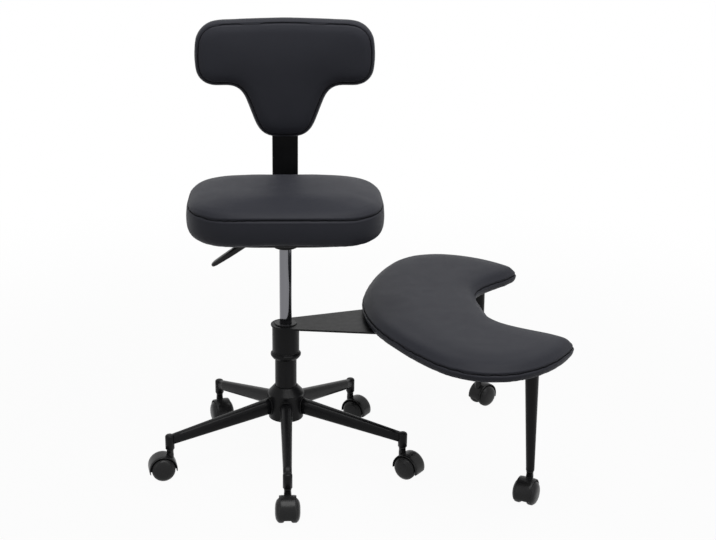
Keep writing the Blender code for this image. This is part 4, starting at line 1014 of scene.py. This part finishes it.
def caster_places():
    """Where each caster's stem meets the floor, turned as its hood trails."""
    made = []
    for i, turn in enumerate(BASE_CASTER_TURNS):
        angle = math.radians(LEG_FIRST_ANGLE + LEG_PITCH * i)
        x = COLUMN_X + STEM_CIRCLE * math.cos(angle)
        y = COLUMN_Y + STEM_CIRCLE * math.sin(angle)
        made.append(turned(x, y, turn))
    for side, turn in zip(SIDES, FOOT_CASTER_TURNS):
        spot = foot_point(FOOT_LEG_OUT, side * FOOT_LEG_SPREAD, 0.0)
        made.append(turned(spot.x, spot.y, turn))
    return made


def build_casters():
    """Hoods and wheels in place of the plain ones."""
    hood = mesh_object("caster_1_hood_shell", hood_mesh(), "nylon")
    wheels = {}
    for word, side in (("left", 1.0), ("right", -1.0)):
        wheels[word] = mesh_object(f"caster_1_{word}_roller", wheel_mesh(side), "nylon")
        wheels[word].data.materials.append(finishes["tread"])
    to_axle = Matrix.Translation((CASTER_TRAIL, 0.0, WHEEL_RADIUS))
    for number, placing in enumerate(caster_places(), start=1):
        caster = f"caster_{number}"
        set_in_place(f"{caster}_hood_shell", hood, placing, caster, f"{caster}_hood")
        for word, wheel in wheels.items():
            set_in_place(f"{caster}_{word}_roller", wheel, placing @ to_axle,
                         f"wheel_{number}_{word}", f"{caster}_wheel_{word}")


build_casters()


# Base legs, cylinder and lever grip


def add_leg_tube(bm):
    """Tapered tube from the hub to the caster socket, along +X."""
    rings = []
    for i in range(LEG_STATIONS + 1):
        share = i / LEG_STATIONS
        halves = [root + (tip - root) * share for root, tip in zip(LEG_ROOT_HALF, LEG_TIP_HALF)]
        middle = LEG_ROOT_Z + (LEG_TIP_Z - LEG_ROOT_Z) * share
        ring = []
        for y, z in superellipse(*halves, LEG_SQUARENESS, LEG_SIDES):
            start = math.sqrt(LEG_ROOT ** 2 - y ** 2)
            ring.append((start + (LEG_END - start) * share, y, middle + z))
        rings.append(ring)
    add_rings(bm, rings)


def add_weld_bead(bm):
    """Rippled bead of weld round the leg's root, on the hub."""
    halves = [half + BEAD_GAP for half in LEG_ROOT_HALF]
    around = superellipse(*halves, LEG_SQUARENESS, BEAD_STEPS)
    rings = []
    for k in range(BEAD_SIDES):
        angle = 2.0 * math.pi * k / BEAD_SIDES
        ring = []
        for i, (y, z) in enumerate(around):
            ripple = BEAD_RIPPLE * math.sin(2.0 * math.pi * BEAD_RIPPLES * i / BEAD_STEPS)
            radius = BEAD_RADIUS * (1.0 + ripple)
            spread = 1.0 + radius * math.cos(angle) / math.hypot(y, z)
            start = math.sqrt(LEG_ROOT ** 2 - (y * spread) ** 2)
            x = start + BEAD_LIFT + radius * max(0.0, math.sin(angle))
            ring.append((x, y * spread, LEG_ROOT_Z + z * spread))
        rings.append(ring)
    add_rings(bm, rings + rings[:1], close_ends=False)
    bmesh.ops.remove_doubles(bm, verts=bm.verts, dist=MERGE)


def add_leg_socket(bm):
    """Upright socket for the caster stem at the leg's end."""
    low = SOCKET_Z
    top = SOCKET_Z + SOCKET_LENGTH
    add_revolved(bm, [
        (0.0060, low + 0.012), (0.0060, low + 0.0002), (0.0064, low), (SOCKET_RADIUS - 0.0008, low),
        (SOCKET_RADIUS, low + 0.0008), (SOCKET_RADIUS, top - 0.0050), (SOCKET_RADIUS - 0.0004, top - 0.0031),
        (SOCKET_RADIUS - 0.0015, top - 0.0015), (SOCKET_RADIUS - 0.0031, top - 0.0004),
        (SOCKET_RADIUS - 0.0050, top), (0.0006, top + 0.0001),
    ], SOCKET_STEPS, Matrix.Translation((STEM_CIRCLE, 0.0, 0.0)))


def leg_mesh():
    """Leg along +X, welded to the hub and ending in a caster socket."""
    bm = bmesh.new()
    add_leg_tube(bm)
    add_weld_bead(bm)
    add_leg_socket(bm)
    return bm


def build_legs():
    """Round-edged leg tubes in place of the plain ones."""
    first = mesh_object("base_leg_1_tube", leg_mesh(), "black_steel")
    for i in range(LEG_COUNT):
        placing = turned(COLUMN_X, COLUMN_Y, LEG_FIRST_ANGLE + LEG_PITCH * i)
        set_in_place(f"base_leg_{i + 1}_tube", first, placing, "base", f"base_leg_{i + 1}")


def build_cylinder():
    """Chromed gas cylinder, chamfered below and tapered where the cup grips it."""
    low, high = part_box("gas_cylinder")
    bm = bmesh.new()
    add_revolved(bm, [
        (0.0056, low.z + 0.0002), (0.0120, low.z), (0.0132, low.z + 0.0004),
        (CYLINDER_RADIUS, low.z + 0.0018), (CYLINDER_RADIUS, CUP_Z), (CYLINDER_TOP_RADIUS, high.z - 0.0008),
        (0.0126, high.z), (0.0040, high.z), (0.0038, high.z - 0.004),
    ], CYLINDER_STEPS, Matrix.Translation((COLUMN_X, COLUMN_Y, 0.0)))
    piece = mesh_object("gas_cylinder_chromed", bm, "chrome")
    edge = piece.modifiers.new("edge", "BEVEL")
    edge.width = CYLINDER_EDGE
    edge.segments = 2
    edge.limit_method = "ANGLE"
    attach(piece, "seat")
    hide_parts("gas_cylinder")


def groove_depth(share):
    """Depth of the finger grooves at a share of the grip's length."""
    if not GROOVE_START < share < GROOVE_END:
        return 0.0
    return GROOVE_DEPTH * (1.0 - math.cos(2.0 * math.pi * (share - GROOVE_START) / GROOVE_PITCH)) / 2.0


def build_grip():
    """Moulded lever grip with finger grooves across its underside."""
    slope = math.radians(PADDLE_SLOPE)
    along = Vector((-math.cos(slope), 0.0, -math.sin(slope)))
    downward = Vector((-along.z, 0.0, along.x))
    base = Vector((COLUMN_X + PADDLE_START[0], COLUMN_Y, PADDLE_START[1]))
    marks, widths, thicknesses = zip(*PADDLE_SECTIONS)
    bm = bmesh.new()
    rings = []
    for share in (*PADDLE_NECK, *(0.05 + 0.01 * i for i in range(92)), *PADDLE_TIP):
        width = np.interp(share, marks, widths)
        thickness = np.interp(share, marks, thicknesses)
        groove = groove_depth(share)
        middle = base + along * (PADDLE_LENGTH * share)
        ring = []
        for a, b in superellipse(thickness / 2.0, width / 2.0, PADDLE_SQUARENESS, PADDLE_SIDES):
            under = max(0.0, a / (thickness / 2.0)) * max(0.0, 1.0 - (GROOVE_FADE * b / width) ** 2)
            ring.append(middle + downward * (a - groove * under) + Vector((0.0, b, 0.0)))
        rings.append(ring)
    add_rings(bm, rings)
    piece = mesh_object("lever_grip", bm, "nylon")
    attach(piece, "lever")
    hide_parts("lever_paddle")


build_legs()
build_cylinder()
build_grip()


# Screws


def screw_mesh():
    """Button-head screw with a hexagon socket, head along +Z from its seat at the origin."""
    bm = bmesh.new()
    rings = [circle(radius, height, SCREW_STEPS) for radius, height in SCREW_HEAD]
    for half, height in SCREW_SOCKET:
        ring = []
        for i in range(SCREW_STEPS):
            angle = 2.0 * math.pi * i / SCREW_STEPS
            corner = (angle % (math.pi / 3.0)) - math.pi / 6.0
            radius = half / math.cos(corner)
            ring.append((radius * math.cos(angle), radius * math.sin(angle), height))
        rings.append(ring)
    add_rings(bm, rings)
    return bm


def seat_screw_places():
    """Screws of the seat plate, of the post's foot and of its head behind the back."""
    plate = [(side * SEAT_SCREW_OUT, y, SEAT_SCREW_Z, "down") for side in SIDES for y in SEAT_SCREW_ROWS]
    foot = [(0.0, y, BAR_SCREW_Z, "down") for y in BAR_SCREW_ROWS]
    head = []
    for side in SIDES:
        for rise in BACK_SCREW_RISES:
            head.append((side * BACK_SCREW_OUT, BACK_SCREW_Y, BACK_Z + rise, "rearward"))
    return [(Vector((COLUMN_X + x, COLUMN_Y + y, z)), way) for x, y, z, way in plate + foot + head]


def foot_screw_places():
    """Screws of the arm plate and of the footrest legs' flanges."""
    made = []
    for out, spread in PLATE_SCREWS:
        for side in SIDES:
            made.append((foot_point(out, side * spread, FOOT_SCREW_Z), "down"))
    for side in SIDES:
        for i in range(FOOT_SCREW_COUNT):
            angle = math.pi / FOOT_SCREW_COUNT + 2.0 * math.pi * i / FOOT_SCREW_COUNT
            out = FOOT_LEG_TOP_OUT + FOOT_SCREW_CIRCLE * math.cos(angle)
            spread = side * FOOT_LEG_SPREAD + FOOT_SCREW_CIRCLE * math.sin(angle)
            made.append((foot_point(out, spread, FOOT_SCREW_Z), "down"))
    return made


def build_screws():
    """Screws in the holes of the steel pieces."""
    ways = {"down": Matrix.Rotation(math.pi, 4, "X"), "rearward": Matrix.Rotation(-math.pi / 2.0, 4, "X")}
    first = mesh_object("seat_screw_1", screw_mesh(), "bright_steel")
    number = 0
    for body, made in (("seat", seat_screw_places()), ("footrest", foot_screw_places())):
        for spot, way in made:
            number += 1
            placing = Matrix.Translation(spot) @ ways[way]
            set_in_place(f"{body}_screw_{number}", first, placing, body)


build_screws()


# CAD pieces that stay, by finish and width of their soft edges

DRESSED = (
    ("black_steel", 0.0008, ("base_hub", "arm_plate", "taper_cup", "back_bar")),
    ("black_steel", 0.0007, ("support_collar", "swivel_sleeve")),
    ("black_steel", 0.0006, ("column_tube", "footrest_leg_front", "footrest_leg_rear", "seat_plate")),
    ("lined_board", 0.0008, ("seat_board", "back_board", "footrest_board")),
    ("nylon", 0.0003, ("guide_bush", "sleeve_bush_lower", "sleeve_bush_upper")),
    ("bright_steel", 0.0003, (
        "piston_rod", "thrust_bearing", "retaining_clip", "release_pin", "lever_rod", "lever_pin")),
    ("bright_steel", 0.0003, [f"caster_{number}_stem" for number in range(1, CASTER_COUNT + 1)]),
)


def dress(node, finish_name, edge_width):
    """Give a CAD piece its finish, soft edges and smooth shading."""
    obj = nodes[node]
    obj.data.materials.clear()
    obj.data.materials.append(finishes[finish_name])
    for polygon in obj.data.polygons:
        polygon.use_smooth = True
        polygon.material_index = 0
    weld = obj.modifiers.new("weld", "WELD")
    weld.merge_threshold = WELD
    edge = obj.modifiers.new("edge", "BEVEL")
    edge.width = edge_width
    edge.segments = 2
    edge.limit_method = "ANGLE"
    edge.angle_limit = math.radians(EDGE_ANGLE)
    edge.harden_normals = True
    shade = obj.modifiers.new("shade", "WEIGHTED_NORMAL")
    shade.keep_sharp = True


for finish, width, pieces in DRESSED:
    for node_name in pieces:
        dress(node_name, finish, width)


# Studio


def add_camera():
    """Camera at the photograph's viewing angle."""
    data = bpy.data.cameras.new("photo_camera")
    data.sensor_fit = "HORIZONTAL"
    data.sensor_width = SENSOR_WIDTH
    data.lens = SENSOR_WIDTH * FOCAL_PIXELS / IMAGE_WIDTH
    data.shift_x = (IMAGE_WIDTH / 2.0 - PRINCIPAL_X) / IMAGE_WIDTH
    camera = link(bpy.data.objects.new("photo_camera", data))
    camera.location = (COLUMN_X, COLUMN_Y - CAMERA_BACK, CAMERA_HEIGHT)
    aim = Matrix.Rotation(CAMERA_TURN, 3, "Z") @ Matrix.Rotation(math.pi / 2.0 + CAMERA_TILT, 3, "X")
    camera.rotation_euler = (aim @ Matrix.Rotation(CAMERA_ROLL, 3, "Z")).to_euler()
    bpy.context.scene.camera = camera


def add_softbox(name, place, target, width, height, power):
    """Soft rectangular studio lamp."""
    data = bpy.data.lights.new(name, "AREA")
    data.shape = "RECTANGLE"
    data.size = width
    data.size_y = height
    data.energy = power
    lamp = link(bpy.data.objects.new(name, data))
    lamp.location = place
    aim = Vector(target) - Vector(place)
    lamp.rotation_euler = aim.to_track_quat("-Z", "Y").to_euler()
    lamp.visible_camera = False


def seen_directly(tree):
    """1 for rays from the camera, from gloss and through glass."""
    path = add_node(tree, "ShaderNodeLightPath")
    total = path.outputs["Is Camera Ray"]
    for ray in ("Is Glossy Ray", "Is Transmission Ray"):
        add = add_node(tree, "ShaderNodeMath", operation="ADD", use_clamp=True)
        tree.links.new(total, add.inputs[0])
        tree.links.new(path.outputs[ray], add.inputs[1])
        total = add.outputs["Value"]
    return total


def mix_shaders(tree, share, first, second, output):
    """Lead two shaders, mixed by a share, to an output."""
    mix = add_node(tree, "ShaderNodeMixShader")
    tree.links.new(share, mix.inputs["Fac"])
    tree.links.new(first, mix.inputs[1])
    tree.links.new(second, mix.inputs[2])
    tree.links.new(mix.outputs["Shader"], tree.nodes[output].inputs["Surface"])


def add_world():
    """White surroundings, dimmer where they light the chair."""
    world = bpy.data.worlds.new("studio")
    bpy.context.scene.world = world
    world.use_nodes = True
    tree = world.node_tree
    white = tree.nodes["Background"]
    white.inputs["Color"].default_value = WHITE
    white.inputs["Strength"].default_value = 1.0
    soft = add_node(tree, "ShaderNodeBackground", {"Color": WHITE, "Strength": WORLD_SOFT})
    seen = seen_directly(tree)
    mix_shaders(tree, seen, soft.outputs["Background"], white.outputs["Background"], "World Output")


def floor_material():
    """White to the camera apart from a faint shadow, which fades out with distance."""
    made = bpy.data.materials.new("floor")
    made.use_nodes = True
    tree = made.node_tree
    shader = tree.nodes["Principled BSDF"]
    shader.inputs["Base Color"].default_value = (FLOOR_TONE, FLOOR_TONE, FLOOR_TONE, 1.0)
    shader.inputs["Roughness"].default_value = FLOOR_ROUGHNESS
    glow = add_node(tree, "ShaderNodeEmission", {"Color": WHITE, "Strength": 1.0})
    coords = add_node(tree, "ShaderNodeTexCoord")
    reach = add_node(tree, "ShaderNodeVectorMath", operation="LENGTH")
    tree.links.new(coords.outputs["Object"], reach.inputs[0])
    fade = add_node(tree, "ShaderNodeMapRange", {
        "From Min": FLOOR_FADE[0], "From Max": FLOOR_FADE[1], "To Min": FLOOR_GLOW, "To Max": 1.0,
    }, interpolation_type="SMOOTHSTEP")
    tree.links.new(reach.outputs["Value"], fade.inputs["Value"])
    share = add_node(tree, "ShaderNodeMath", operation="MULTIPLY")
    tree.links.new(seen_directly(tree), share.inputs[0])
    tree.links.new(fade.outputs["Result"], share.inputs[1])
    mix_shaders(tree, share.outputs["Value"], shader.outputs["BSDF"], glow.outputs["Emission"],
                "Material Output")
    return made


def add_floor():
    """Pale floor that keeps a soft shadow of the chair."""
    bm = bmesh.new()
    bmesh.ops.create_circle(bm, cap_ends=True, segments=FLOOR_STEPS, radius=FLOOR_RADIUS)
    mesh = bpy.data.meshes.new("floor")
    bm.to_mesh(mesh)
    bm.free()
    floor = link(bpy.data.objects.new("floor", mesh))
    floor.location = (0.0, 0.0, -FLOOR_DROP)
    mesh.materials.append(floor_material())


add_camera()
add_world()
add_floor()
for softbox in SOFTBOXES:
    add_softbox(*softbox)
bpy.context.scene.view_settings.view_transform = "Standard"
